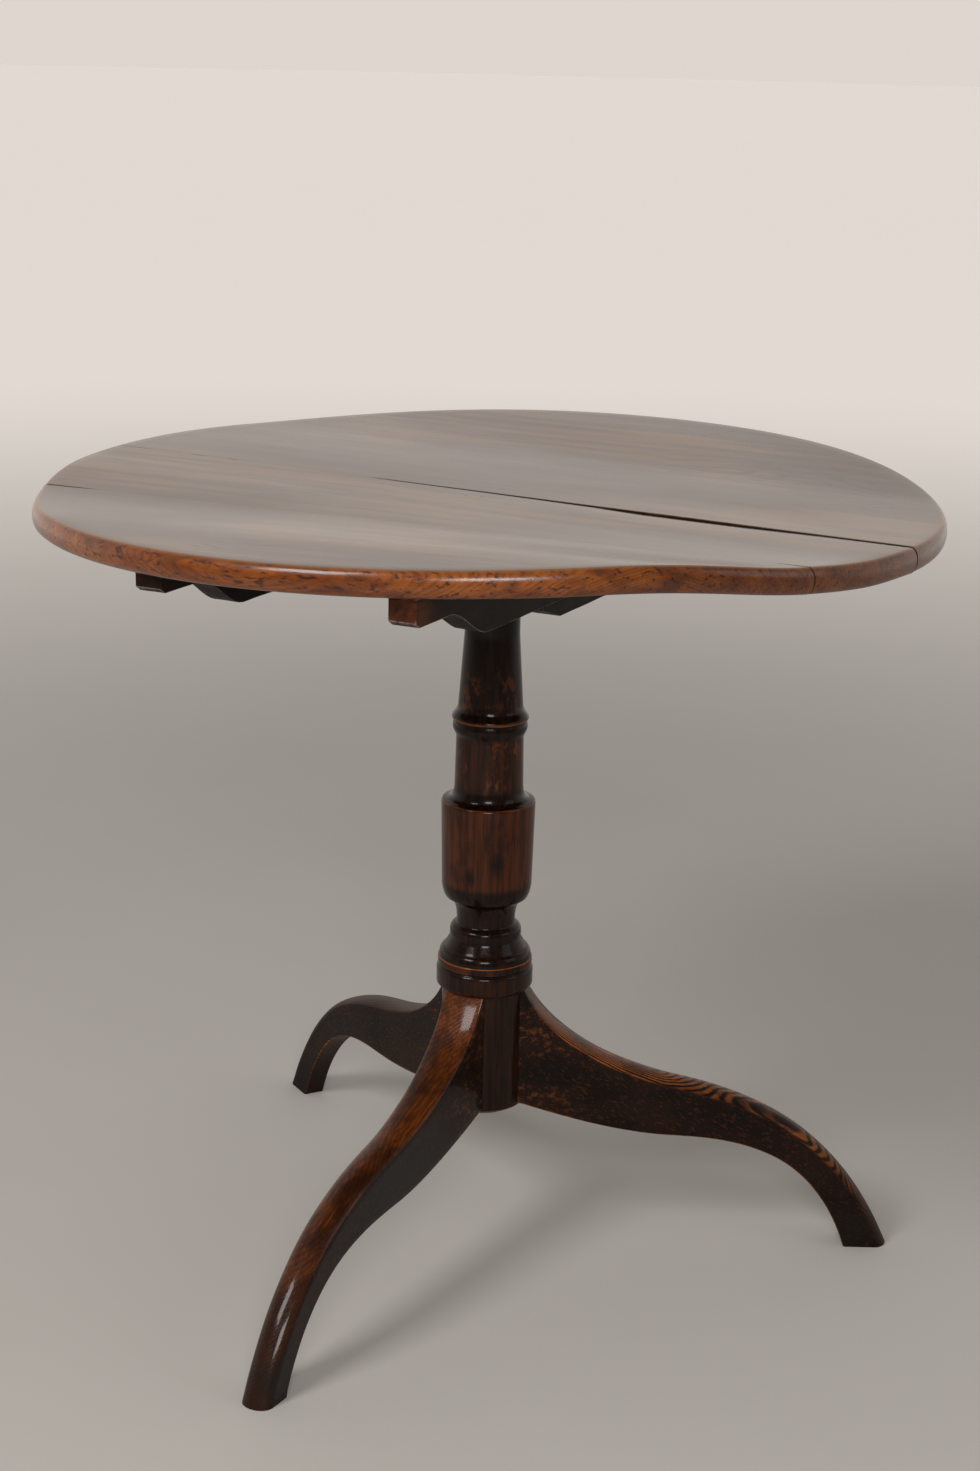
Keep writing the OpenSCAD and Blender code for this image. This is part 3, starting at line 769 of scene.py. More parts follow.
def elm(name, heart, swirls=(), knots=()):
    """The finish of one board: its heart line at (across, height), its swirls and rim knots."""
    finish, place, facing = new_finish(name)
    wood = drawn_out(place, (1, 1, 1), GRAIN_TURN)
    s, t = wood.part("X", "Y")
    slow = grained(wood, (2.2, 7, 7), 3, 0.45)
    wild = grained(wood, (7, 16, 16), 2, 0.5, 0.6)
    wander = (slow - 0.5) * 0.042
    swirl = slow * 0
    for spot_s, spot_t, reach in swirls:
        swirl = swirl + near(wood, (spot_s * MM, spot_t * MM, 0.69), reach * MM)
    swirl = swirl.math("MINIMUM", 1.0)
    wander = wander + (wild - 0.5) * (swirl * 0.06 + 0.008)
    year = yearly_rings(wood, heart, 6.5 * MM, wander)
    late = between(year, 0.5, 0.93, 0.95, 1.0)
    fine_year = yearly_rings(wood, heart, 2.3 * MM, wander * 0.6 + wild * 0.004)
    fine_late = between(fine_year, 0.35, 0.85, 0.88, 1.0)
    fibre = grained(wood, (9, 260, 260), 4, 0.65)
    streak = grained(wood, (4, 55, 55), 3, 0.55)
    pore = rise(grained(wood, (110, 1300, 1300), 2), 0.6, 0.7)
    fleck = rise(grained(wood, (95, 300, 300), 2, 0.6), 0.56, 0.66)
    blotch = grained(wood, (18, 55, 55), 4, 0.62, shift=(5, 2, 1))
    smoke = rise(grained(wood, (3.2, 7, 7), 3, shift=(0.3, 0.1, 0)), 0.5, 0.68)
    warm = rise(grained(wood, (2.6, 6, 6), 2, shift=(3, 1, 0)), 0.42, 0.62)

    flat = place.vector("SUBTRACT", (MID_X, 0, 0)).vector("MULTIPLY", (1, 1, 0))
    radius = flat.vector("LENGTH", output="Value") / TOP_R
    rim = rise(radius, RIM_FROM, RIM_TO)
    up = facing.part("Z")
    under = rise(up, -0.86, -0.97)

    face = coats(
        mix(warm, (0.11, 0.06, 0.034), (0.215, 0.105, 0.043)),
        (rise(streak, 0.42, 0.6) * 0.65, (0.078, 0.038, 0.02)),
        (late * (swirl * 0.75 + 0.16), (0.048, 0.022, 0.013)),
        (smoke * 0.45, (0.06, 0.038, 0.027)),
        (rise(fibre, 0.5, 0.75) * 0.3, (0.25, 0.145, 0.078)),
        (pore * 0.4, (0.035, 0.018, 0.01)))

    edge = coats(
        mix(rise(streak, 0.35, 0.65), (0.165, 0.036, 0.004), (0.33, 0.088, 0.01)),
        (fine_late * rise(blotch, 0.62, 0.4) * 0.55, (0.075, 0.018, 0.006)),
        (late * 0.28, (0.085, 0.022, 0.007)),
        (rise(blotch, 0.5, 0.64) * 0.6, (0.08, 0.02, 0.007)),
        # painted shade: the rim grows darker towards its right-hand end
        (rise(s, 0.2, 0.33) * 0.45, (0.045, 0.012, 0.004)),
        (fleck * 0.85, (0.03, 0.008, 0.004)),
        (pore * 0.5, (0.03, 0.01, 0.005)))
    for knot_s, knot_t, reach in knots:
        knot = near(wood, (knot_s * MM, knot_t * MM, 0.684), reach * MM)
        edge = mix(knot * (blotch * 0.6 + 0.5), edge, (0.03, 0.008, 0.004))
    # painted highlight: a lighter golden line along the rim's upper arris, where it faces up
    arris_highlight = between(radius, 0.979, 0.985, 0.987, 0.994) * rise(up, 0.5, 0.9)
    edge = mix(arris_highlight * 0.7, edge, (0.46, 0.18, 0.042))

    dry = mix(streak, (0.085, 0.06, 0.043), (0.18, 0.125, 0.085))
    dry = mix(late * 0.5, dry, (0.06, 0.042, 0.032))
    dry = mix(smoke * 0.6, dry, (0.045, 0.036, 0.03))

    color = mix(under, mix(rim, face, edge), dry)
    oval = ovals(s, t, (-4 * MM, -32 * MM), 0.55)
    ring = between(oval, 3.0 * MM, 3.9 * MM, 4.3 * MM, 5.0 * MM)
    color = mix(rise(oval, 3.9 * MM, 3.2 * MM) * 0.45, color, (0.24, 0.17, 0.11))
    # dark marks: dirt and painted shade in the seams, the outline of the pale mark, and dark spots
    dark = seam_dirt_and_shade(s, t) + ring * 0.35
    for spot_s, spot_t, reach in DARK_SPOTS:
        dark = dark + near(wood, (spot_s * MM, spot_t * MM, 0.6885), reach * MM)
    dark = (dark * 0.85).math("MINIMUM", 0.93)
    color = mix(torn_lips(s, t) * rise(fleck + fibre, 0.4, 0.6) * 0.6, color, (0.3, 0.15, 0.065))
    # painted shade: the upright walls inside the open seams are painted near-black
    crack_shade = rise(up.math("ABSOLUTE"), 0.6, 0.3) * rise(radius, 0.985, 0.975)
    color = mix(dark.math("MAXIMUM", crack_shade * 0.95), color, (0.012, 0.006, 0.004))

    haze = grained(wood, (5, 11, 11), 3, shift=(1, 2, 0))
    rough = mix_value(rim, haze * 0.26 + fibre * 0.08 + 0.165, fibre * 0.12 + blotch * 0.1 + 0.16)
    rough = mix_value(under, rough, streak * 0.1 + 0.68) + dark * 0.3
    waves = grained(wood, (9, 28, 28), 2) * 2.2
    grooves = fibre * 0.1 - pore * 0.28 - dark * 1.2 - fleck * rim * 0.3
    sawn = grained(wood, (30, 700, 700), 3) * under * 1.4
    wax = (1 - under) * (0.75 - rim * 0.35)
    surface(color, rough, waves + grooves + sawn, 0.11 * MM, coat_weight=wax,
            coat_roughness=0.17, coat_ior=1.5, specular_ior_level=0.3)
    return finish


def ovals(s, t, centre, narrow):
    """Distance from a centre, with the grain direction squeezed, so circles become ovals."""
    off_s, off_t = (s - centre[0]) * narrow, t - centre[1]
    return (off_s * off_s + off_t * off_t).math("SQRT")


def off_seam(seam, s, t):
    """How far a point lies from a seam, on either side."""
    return (t - s * seam[1] - seam[0]).math("ABSOLUTE")


def seam_dirt_and_shade(s, t):
    """Dirt and painted shade in the open parts of the seams, in small slits and in the splinter's line.
    """
    back_off, front_off = off_seam(BACK_SEAM, s, t), off_seam(FRONT_SEAM, s, t)
    back_open = rise(s, -0.121, -0.104)
    for slit, half in SLITS:
        back_open = back_open + rise((s - slit * MM).math("ABSOLUTE"), half * MM, half * 0.4 * MM)
    front_open = rise(s, -0.29, -0.312) + rise(s, 0.303, 0.318)
    dirt = rise(back_off, 1.7 * MM, 0.8 * MM) * back_open * 0.85
    dirt = dirt + rise(front_off, 1.5 * MM, 0.7 * MM) * front_open * 0.85
    hairline = rise(back_off, 0.8 * MM, 0.2 * MM) + rise(front_off, 0.8 * MM, 0.2 * MM)
    on = (s + 0.117) * 0.62 + (t + 0.013) * 0.784
    off = ((t + 0.013) * 0.62 - (s + 0.117) * 0.784).math("ABSOLUTE")
    splinter = rise(off, 0.9 * MM, 0.3 * MM) * rise(on, -MM, 2 * MM) * rise(on, 31 * MM, 26 * MM)
    return dirt + hairline * 0.22 + splinter * 0.6


def torn_lips(s, t):
    """Where the torn seam shows fresh, paler wood along its edges."""
    off = off_seam(BACK_SEAM, s, t)
    return rise(off, 4.5 * MM, 2.2 * MM) * rise(s, 0.112, 0.135) * rise(s, 0.245, 0.222)


def mix_value(share, first, second):
    """Between two numbers or wires, by a share."""
    return share * second + (1 - share) * first


BOARDS = [
    (back_board, "back_board", (215 * MM, 0.622), BACK_SWIRLS, ()),
    (middle_board, "middle_board", (-70 * MM, 0.612), (), ()),
    (front_board, "front_board", (-262 * MM, 0.64), [(-30, -352, 60), (-52, -340, 35)],
     [(-5, -361, 15), (-57, -352, 8)]),
]
for board, node, heart, swirls, knots in BOARDS:
    hand_over(board, "top", [node], elm(node + "_elm", heart, swirls, knots))

# %% [markdown]
# ## The battens
# Each batten is a bearer under the boards. Its upper edge is cut to the warp, and near each end its
# depth steps up to a thin nose. It could be an outline sawn from a plank, but then its sides would
# be single flat faces, and old rough work isn't flat. So a plank is cut into rows, the rows are
# moved to the batten's upper and lower edges, and the surface gets the marks of the axe and the saw.

# %% Shape the two battens
PIVOT = Vector(frame["joints"][0]["pos_m"])
PIVOT_T, PIVOT_Z = PIVOT.dot(ACROSS), PIVOT.z
BATTEN_S, BATTEN_W, BATTEN_REACH = 109 * MM, 24 * MM, 357 * MM
BATTEN_LOW, NOSE_L, NOSE_CURVE, NOSE_ROUND = 632 * MM, 52 * MM, 63 * MM, 4 * MM
PIVOT_R, BORE_R = 9 * MM, 9.075 * MM
SCREW_T = [-325 * MM, -190 * MM, -40 * MM, 190 * MM, 325 * MM]
SCREW_GRIP, SCREW_HEAD_T, SCREW_HEAD_R = 16 * MM, 2.6 * MM, 4.6 * MM
SINK_L = 60 * MM
ROW_GAP = 6 * MM
ROWS_ACROSS, ROWS_UP = [-10.4, -7.5, -3.5, 0, 3.5, 7.5, 10.4], [0.06, 0.2, 0.4, 0.6, 0.8, 0.94]


def batten_top(s, t):
    return top_surface(s, t) - BOARD_T - 0.3 * MM


def lowest_top(s, t):
    """The lower of the two upper edges, from which the screws are measured."""
    edges = [top_surface(s + side * BATTEN_W / 2, t) for side in (-1, 1)]
    return float(min(edges)) - BOARD_T - 0.25 * MM


def batten_bottom(t, drop, step):
    share = smooth_step((BATTEN_REACH - NOSE_L - np.abs(t)) / NOSE_CURVE)
    chamfer = np.clip(np.abs(t) - BATTEN_REACH + NOSE_ROUND, 0, None)
    return BATTEN_LOW - drop + step * (1 - share) + chamfer


def make_batten(name, s, drop, step):
    """A batten with its bore for the pivot and its sunk screw holes."""
    piece = plank(name, (s - BATTEN_W / 2, -BATTEN_REACH, 0), (s + BATTEN_W / 2, BATTEN_REACH, 1))
    cut_rows(piece, (0, 1, 0), np.arange(-BATTEN_REACH, BATTEN_REACH, ROW_GAP)[1:])
    cut_rows(piece, (1, 0, 0), s + np.array(ROWS_ACROSS) * MM)
    cut_rows(piece, (0, 0, 1), ROWS_UP)
    points = points_of(piece)
    low = batten_bottom(points[:, 1], drop, step)
    high = batten_top(points[:, 0], points[:, 1])
    points[:, 2] = low + points[:, 2] * (high - low)
    put_points(piece, points)
    ease_edges(piece, 1.1 * MM, 2, 50)
    by_hand(piece, 0.9 * MM, 19 * MM, (1, 0.55, 1),
            lambda p: p[:, 2] < batten_top(p[:, 0], p[:, 1]) - MM)
    mark_wear(piece, 500.0, 2)
    tools = [saw("bore", circle(PIVOT_T, PIVOT_Z, BORE_R, 64), s - BATTEN_W, s + BATTEN_W)]
    for t in SCREW_T:
        head_z = lowest_top(s, t) - SCREW_GRIP
        tools.append(rod("sink", (s, t, head_z - SINK_L), SINK_L, SCREW_HEAD_R + 0.2 * MM, steps=32))
    carve(piece, join("batten_tools", tools))
    return turned_by(piece, GRAIN)


def circle(across, height, radius, steps):
    """A round outline of (across, height)."""
    turns = [math.tau * k / steps for k in range(steps)]
    return [(across + radius * math.cos(a), height + radius * math.sin(a)) for a in turns]


left_batten = make_batten("left_batten_shaped", -BATTEN_S, 5 * MM, 28 * MM)
right_batten = make_batten("right_batten_shaped", BATTEN_S, 0.0, 25 * MM)
print("battens shaped:", len(left_batten.data.polygons), "faces each")

# %% [markdown]
# ## The block and its pivots
# The block sits on the column's tenon. Two wooden pivots stick out of its ends, near its back edge,
# and the top swings on them. The back edge is rounded about the pivots, or the boards would bind on
# it. An outline with that quarter-round is sawn out, and the pivots and the holes follow.

# %% Saw the block and drill it
BLOCK_LOW, BLOCK_FRONT, BLOCK_HALF = 605 * MM, 98 * MM, 96.2 * MM
BLOCK_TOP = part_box("tilt_block")[1].z
SWING, BEVEL_L, BEVEL_H = 14.6 * MM, 32 * MM, 10 * MM
TENON_R, TENON_TOP = 19 * MM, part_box("column")[1].z
BOLT_W, BOLT_T, BOLT_LOW = 10 * MM, 6 * MM, PIVOT_Z + 3.5 * MM
MORTISE_L = 13.5 * MM


def bolt_space(start, end, spare):
    """The room that the catch's bolt needs, with something to spare on every side."""
    return plank("bolt_space", (-BOLT_W / 2 - spare, start, BOLT_LOW - spare),
                 (BOLT_W / 2 + spare, end, BOLT_LOW + BOLT_T + spare))


block_back = PIVOT_T + SWING
round_edge = [(PIVOT_T + SWING * math.cos(a), PIVOT_Z + SWING * math.sin(a))
              for a in np.linspace(0, math.pi / 2, 13)]
block = saw("tilt_block_sawn", [
    (-BLOCK_FRONT, BLOCK_TOP), (-BLOCK_FRONT, BLOCK_LOW + BEVEL_H),
    (BEVEL_L - BLOCK_FRONT, BLOCK_LOW), (block_back - BEVEL_L, BLOCK_LOW),
    (block_back, BLOCK_LOW + BEVEL_H), *round_edge], -BLOCK_HALF, BLOCK_HALF)
cut_rows(block, (1, 0, 0), np.linspace(-BLOCK_HALF, BLOCK_HALF, 34)[1:-1])
cut_rows(block, (0, 1, 0), np.linspace(-BLOCK_FRONT, PIVOT_T, 30)[1:-1])
cut_rows(block, (0, 0, 1), np.linspace(BLOCK_LOW, BLOCK_TOP, 12)[1:-1])
ease_edges(block, 1.4 * MM, 3, 30)
by_hand(block, 0.5 * MM, 24 * MM)
mark_wear(block, 500.0, 2)
pin_end = BATTEN_S + BATTEN_W / 2
pins = saw("pins", circle(PIVOT_T, PIVOT_Z, PIVOT_R, 64), -pin_end, pin_end)
ease_edges(pins, 0.8 * MM, 2)
carve(block, pins, "UNION")
mortise = bolt_space(-BLOCK_FRONT - 3 * MM, -BLOCK_FRONT + MORTISE_L, MM)
socket = rod("socket", (0, 0, BLOCK_LOW - MM), BLOCK_TOP - BLOCK_LOW + 2 * MM, TENON_R, steps=128)
carve(block, join("block_tools", [mortise, socket]))
turned_by(block, GRAIN)
print("block sawn:", len(block.data.polygons), "faces")

# %% [markdown]
# ## The turned column
# A column comes off a lathe, so it is one outline spun round its axis. The outline is written as the
# turner reads it: a plain length is two points, a hollow or a round is a quarter turn between two
# points, and a bead is a small swelling. Two helpers then ease its corners a little, as years of
# dusting do, and add points where a length is long, so that the wear has something to sit on.

# %% Draw the outline and spin it
def quarter(start, end, upright_first):
    """A quarter-round or a hollow from one (radius, height) to another."""
    turns = np.linspace(0, math.pi / 2, 9)
    ease_r = 1 - np.cos(turns) if upright_first else np.sin(turns)
    ease_z = np.sin(turns) if upright_first else 1 - np.cos(turns)
    return [(start[0] + (end[0] - start[0]) * a, start[1] + (end[1] - start[1]) * b)
            for a, b in zip(ease_r, ease_z)]


def bead(low, high, r_low, r_high, peak):
    """A swelling between two heights."""
    swell = peak - (r_low + r_high) / 2
    return [(r_low + (r_high - r_low) * u + swell * math.sin(math.pi * u), low + (high - low) * u)
            for u in np.linspace(0, 1, 13)]


def eased(outline, size, sharp=18):
    """Cuts each sharp corner of an outline with a small curve."""
    result = [outline[0]]
    for before, corner, after in zip(outline, outline[1:], outline[2:]):
        before, corner, after = Vector(before), Vector(corner), Vector(after)
        back, on = before - corner, after - corner
        if back.length < 1e-6 or on.length < 1e-6:
            continue
        if math.degrees(math.pi - back.angle(on)) < sharp:
            result.append(tuple(corner))
            continue
        start = corner + back.normalized() * min(size, back.length * 0.45)
        end = corner + on.normalized() * min(size, on.length * 0.45)
        middle = (start + end) / 4 + corner / 2
        result += [tuple(start), tuple(middle), tuple(end)]
    return result + [outline[-1]]


def spaced(outline, gap):
    """Adds points so that no two are further apart than a gap."""
    result = [outline[0]]
    for start, end in zip(outline, outline[1:]):
        start, end = Vector(start), Vector(end)
        steps = max(1, math.ceil((end - start).length / gap))
        result += [tuple(start.lerp(end, k / steps)) for k in range(1, steps + 1)]
    return result


SHAFT_R, COLUMN_LOW, RING_LOW = 37.5, 133, 243.5
COLUMN_STEPS = 128
column_lines = [
    *[(0, COLUMN_LOW), (SHAFT_R - 1, COLUMN_LOW), (SHAFT_R, COLUMN_LOW + 1), (SHAFT_R, RING_LOW)],
    *[(40.9, RING_LOW), (42.9, 246), (42.9, 260), (42.1, 261.8), (40.7, 263)],
    *[(42.0, 264.6), (41.9, 270.2), (41.3, 270.8)],
    *quarter((40.9, 270.8), (36.5, 279.5), True),
    *[(33.6, 285), (31.2, 289.5), (31.7, 291.1), (31.6, 295)],
    *quarter((31.6, 295), (27.0, 301), True),
    *[(25.8, 302.5), (25.8, 306)],
    *quarter((25.8, 306), (35, 326), True),
    *[(36.6, 327.2), (38.6, 332), (39.7, 338), (41.3, 414), (40.4, 416), (36, 416.6)],
    *[(32.6, 418.5), (31, 422), (30.2, 427), (29.4, 473)],
    *bead(475.5, 488, 30.0, 31.6, 32.6),
    *[(33.0, 489), (33.6, 490.4), (33.3, 492), (31.5, 494.6), (29.4, 497.2), (28.3, 500.5)],
    *[(24, 565), (24, BLOCK_LOW / MM), (TENON_R / MM, BLOCK_LOW / MM)],
    *[(TENON_R / MM, TENON_TOP / MM), (0, TENON_TOP / MM)],
]
outline = spaced(eased(column_lines, 0.7), 3.4)
column = turn("column_turned", [(r * MM, z * MM) for r, z in outline], COLUMN_STEPS)
mark_wear(column, 420.0, 1)
print("column outline:", len(outline), "points,", len(column.data.polygons), "faces")

# %% [markdown]
# The legs are held in the column by dovetails, which slide up into slots from below, and the tenon
# at the top is spread by a wedge. Both joints are hidden or nearly so, but they are what holds the
# table together, so they are cut here as the maker cut them.

# %% Cut the dovetail slots and fit the wedge
LEG_ANGLES = [math.radians(a) for a in (0, 120, 240)]
DOVETAIL_TOP = 226 * MM


def dovetail(name, low, angle, spare=0.0):
    """The tongue of a leg, wider inside than at the surface of the column."""
    piece = plank(name, (22.999 * MM, -1, low), (39.5 * MM, 1, DOVETAIL_TOP))
    points = points_of(piece)
    inner = points[:, 0] < 30 * MM
    half = np.where(inner, 11.5 * MM, 8 * MM) + spare
    points[:, 1] = np.sign(points[:, 1]) * half
    put_points(piece, points)
    return turned_by(piece, angle)


def wedge(name, spare=0.0):
    """The wedge that spreads the tenon, tapered downward."""
    low, high = TENON_TOP - 34 * MM, TENON_TOP + spare
    outline = [(-1.7 * MM, high), (-0.7 * MM, low), (0.7 * MM, low), (1.7 * MM, high)]
    return saw(name, outline, -TENON_R - MM, TENON_R + MM)


slots = [dovetail("slot", COLUMN_LOW * MM - MM, angle) for angle in LEG_ANGLES]
slots.append(turned_by(wedge("wedge_slot", MM), GRAIN))
carve(column, join("column_tools", slots))
tenon_wedge = wedge("tenon_wedge_split")
carve(tenon_wedge, rod("round", (0, 0, BLOCK_LOW), 0.2, TENON_R - 0.05 * MM, steps=128), "INTERSECT")
turned_by(tenon_wedge, GRAIN)
print("column jointed:", len(column.data.polygons), "faces")

# %% [markdown]
# ## The legs
# A leg was sawn from a thick plank along a double curve, thinned towards the toe, and its upper side
# was rounded with a spokeshave. A box could be bent and bevelled into such a shape, but each of the
# three legs differs a little, and no operator keeps a changing section square to a curve. So the leg
# is made as a lofted hull: a sheet is rolled round the rings of points that the two edge curves
# give, its seam is merged and its ends are filled. A saw cut shapes the end to the round column.

# %% Rings of points for one leg
LEG_STATIONS, CROWN_POINTS, SIDE_POINTS, SOLE_POINTS = 104, 26, 9, 9
KNEE_LIFT, TOE_R, SOLE_L = (0, 6, -4), (373, 381, 370), (40, 38, 32)
TOE_T, TOE_LEAN, LEG_T, KNEE_T = (29, 21, 28), (-4, 1, 6.5), 39, 33
ARRIS = 1.6


def edge_curves(i):
    """The upper and lower edges of leg number i, each as two joined Bezier curves."""
    lift, toe, heel = KNEE_LIFT[i], TOE_R[i], TOE_R[i] - SOLE_L[i]
    upper = [[(30, 262), (50, 197), (120, 169.5 + lift), (174, 158 + lift)],
             [(174, 158 + lift), (250, 142 + lift), (325, 112 + lift), (toe, 0)]]
    lower = [[(30, 136), (75, 122), (125, 107 + lift), (174, 106 + lift)],
             [(174, 106 + lift), (235, 104 + lift), (300, 95 + lift), (heel, 0)]]
    return upper, lower


def on_curve(curves, u):
    """The point at u on two joined curves, u from 0 at the column to 2 at the toe."""
    a, b, c, d = (np.array(p, float) for p in curves[0 if u < 1 else 1])
    v = u if u < 1 else u - 1
    return (1 - v) ** 3 * a + 3 * v * (1 - v) ** 2 * b + 3 * v * v * (1 - v) * c + v ** 3 * d


def leg_ring(i, u):
    """One ring: flat sole, eased arris, upright side, rounded crown and down the other side."""
    upper, lower = edge_curves(i)
    crown, belly = on_curve(upper, u), on_curve(lower, u)
    depth = np.linalg.norm(crown - belly)
    up = (crown - belly) / depth
    share = smooth_step(u if u < 1 else u - 1)
    half = (LEG_T + (KNEE_T - LEG_T) * share if u < 1 else KNEE_T + (TOE_T[i] - KNEE_T) * share) / 2
    dome = 5.5 + 5.5 * u / 2
    turns = np.linspace(math.pi, 0, CROWN_POINTS)
    crown_line = [(half * math.cos(a), depth - dome + dome * math.sin(a)) for a in turns]
    corner = [(-half + ARRIS * (1 - math.sin(a)), ARRIS * (1 - math.cos(a)))
              for a in np.linspace(0, math.pi / 2, 4)]
    side = [(-half, ARRIS + (depth - dome - ARRIS) * k / SIDE_POINTS) for k in range(1, SIDE_POINTS)]
    left = corner + side
    sole = [(half - ARRIS - (2 * half - 2 * ARRIS) * k / SOLE_POINTS, 0) for k in range(1, SOLE_POINTS)]
    line = left + crown_line + [(-x, y) for x, y in reversed(left)] + sole
    lean = TOE_LEAN[i] * u / 2
    return [(belly[0] + up[0] * y, x + lean, belly[1] + up[1] * y) for x, y in line]


def roll_up(name, rings):
    """Rolls a sheet of points into a tube through the rings, and fills its two ends."""
    rings = np.array(rings) * MM
    rings = np.concatenate([rings, rings[:, :1]], axis=1)
    rows, columns = rings.shape[:2]
    piece = basic(name, bpy.ops.mesh.primitive_grid_add, size=1,
                  x_subdivisions=columns - 1, y_subdivisions=rows - 1)
    places = points_of(piece)
    order = np.lexsort((places[:, 0].round(5), places[:, 1].round(5)))
    points = np.empty_like(places)
    points[order] = rings.reshape(-1, 3)
    put_points(piece, points)
    open_edit(piece)
    bpy.ops.mesh.remove_doubles(threshold=0.01 * MM)
    bpy.ops.mesh.select_all(action="DESELECT")
    bpy.ops.mesh.select_non_manifold()
    bpy.ops.mesh.fill_holes(sides=0)
    close_edit()
    return piece


print("points in a ring:", len(leg_ring(0, 1.0)))

# %% Roll, cut and joint the three legs
def make_leg(name, i):
    """Leg number i, cut to the column and turned to its place."""
    rings = [leg_ring(i, 2 * j / LEG_STATIONS) for j in range(LEG_STATIONS + 1)]
    leg = roll_up(name, rings)
    by_hand(leg, 0.55 * MM, 34 * MM, (0.6, 1, 1), lambda p: np.clip(p[:, 2] / (6 * MM), 0, 1))
    mark_wear(leg, 430.0, 2)
    column_tool = rod("column_tool", (0, 0, 0), 0.4, SHAFT_R * MM, steps=COLUMN_STEPS)
    above = plank("above", (-0.1, -0.1, RING_LOW * MM), (0.1, 0.1, 0.35))
    carve(leg, column_tool)
    carve(leg, above)
    carve(leg, dovetail("tongue", COLUMN_LOW * MM, 0, -0.03 * MM), "UNION")
    return turned_by(leg, LEG_ANGLES[i])


legs = [make_leg(name + "_leg_carved", i) for i, name in enumerate(("right", "back", "front"))]
for leg in legs:
    print(leg.name, len(leg.data.polygons), "faces")

# %% [markdown]
# ## The iron brace and the catch
# A smith's iron plate with three arms is nailed under the column to keep the legs from spreading.
# Each arm is an outline that follows the lower edge of its leg, and each nail has the faceted head
# that a hammer gives it. Under the top, a brass bolt slides in two staples, and its nose enters a
# slotted plate on the block. All of these are sawn, turned and drilled with the same few tools.

# %% Forge the brace and its nails
BRACE_T, BRACE_W, NAIL_AT = 3, 18, (0.2, 0.36)


def brace_arm(i):
    """An arm of the brace, from the middle of the column out along a leg."""
    curve = edge_curves(i)[1]
    under = [on_curve(curve, u) - (0, 0.4) for u in np.arange(0.06, 0.4201, 0.04)]
    outline = [(0, COLUMN_LOW), (SHAFT_R, COLUMN_LOW), *under,
               *[p - np.array((0.8, BRACE_T)) for p in reversed(under)],
               (SHAFT_R - 1, COLUMN_LOW - BRACE_T), (0, COLUMN_LOW - BRACE_T)]
    half = BRACE_W / 2 * MM
    arm = saw("arm", [(y * MM, z * MM) for y, z in outline], -half, half)
    return turned_by(arm, LEG_ANGLES[i] - math.pi / 2)


brace = rod("brace_forged", (0, 0, (COLUMN_LOW - BRACE_T) * MM), BRACE_T * MM, 31.5 * MM, steps=72)
for i in range(3):
    carve(brace, brace_arm(i), "UNION")
ease_edges(brace, 0.6 * MM, 2, 30)
mark_wear(brace, 800.0, 1)

nails = []
for i in range(3):
    for u in NAIL_AT:
        y, z = on_curve(edge_curves(i)[1], u) * MM
        shank = rod("shank", (0, y, z - 3 * MM), 22 * MM, 2 * MM, 1.2 * MM, steps=12)
        head = rod("head", (0, y, z - 4.6 * MM), 1.5 * MM, 2.2 * MM, 5 * MM, steps=8)
        ease_edges(head, 0.3 * MM, 2, 25)
        nails.append(turned_by(join("nail", [head, shank]), LEG_ANGLES[i] - math.pi / 2))
nails = join("brace_nails_forged", nails)
mark_wear(nails, 900.0, 1)
print("brace and", 3 * len(NAIL_AT), "nails forged")

# %% Make the catch, its keeper and the screws
CATCH_FRONT, PLATE_L, PLATE_W, PLATE_T = -106 * MM, 44 * MM, 56 * MM, 2.5 * MM
CATCH_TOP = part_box("catch_plate")[1].z
KEEPER_T, KEEPER_W, KEEPER_H, KEEPER_LOW = 1.5 * MM, 40 * MM, 20 * MM, BOLT_LOW - 9 * MM
SLIDE_GAP, SLOT_GAP, STAPLE_W, STAPLE_L, BOLT_L = 0.2 * MM, 0.6 * MM, 20 * MM, 8 * MM, 60 * MM
STAPLE_T, KNOB_T = (CATCH_FRONT - 8 * MM, CATCH_FRONT - 36 * MM), CATCH_FRONT - 26 * MM
COUNTERSINK = (1.4 * MM, 3.25 * MM, 1.65 * MM, 24)
PLATE_SCREWS = [(s, t) for s in (-22 * MM, 22 * MM) for t in (-111 * MM, -145 * MM)]


def small_screw(name, length):
    """A sunk screw, head down, with a saw slot across it."""
    piece = turn(name, [(0, 0), (3.1 * MM, 0), (3.2 * MM, 0.15 * MM), (1.6 * MM, 1.45 * MM),
                        (1.6 * MM, length - 3 * MM), (0, length)], 24)
    carve(piece, plank("slot", (-5 * MM, -0.35 * MM, -MM), (5 * MM, 0.35 * MM, 0.6 * MM)))
    return piece


def placed(piece, s, t, z, spin=0.0, tilt=0.0):
    """Puts a small part at its place along the grain, across it and upwards."""
    piece.rotation_euler = (tilt, 0, spin)
    piece.location = (s, t, z)
    return settle(piece)


plate = plank("catch_plate_filed", (-PLATE_W / 2, CATCH_FRONT - PLATE_L, CATCH_TOP - PLATE_T),
              (PLATE_W / 2, CATCH_FRONT, CATCH_TOP))
for t in STAPLE_T:
    carve(plate, plank("staple", (-STAPLE_W / 2, t - STAPLE_L / 2, BOLT_LOW - 2.2 * MM),
                       (STAPLE_W / 2, t + STAPLE_L / 2, CATCH_TOP - MM)), "UNION")
ease_edges(plate, 0.6 * MM, 2)
tools = [rod("sink", (s, t, CATCH_TOP - PLATE_T), *COUNTERSINK) for s, t in PLATE_SCREWS]
channel = bolt_space(CATCH_FRONT - PLATE_L - MM, CATCH_FRONT + MM, SLIDE_GAP)
carve(plate, join("catch_tools", [channel, *tools]))
turned_by(plate, GRAIN)

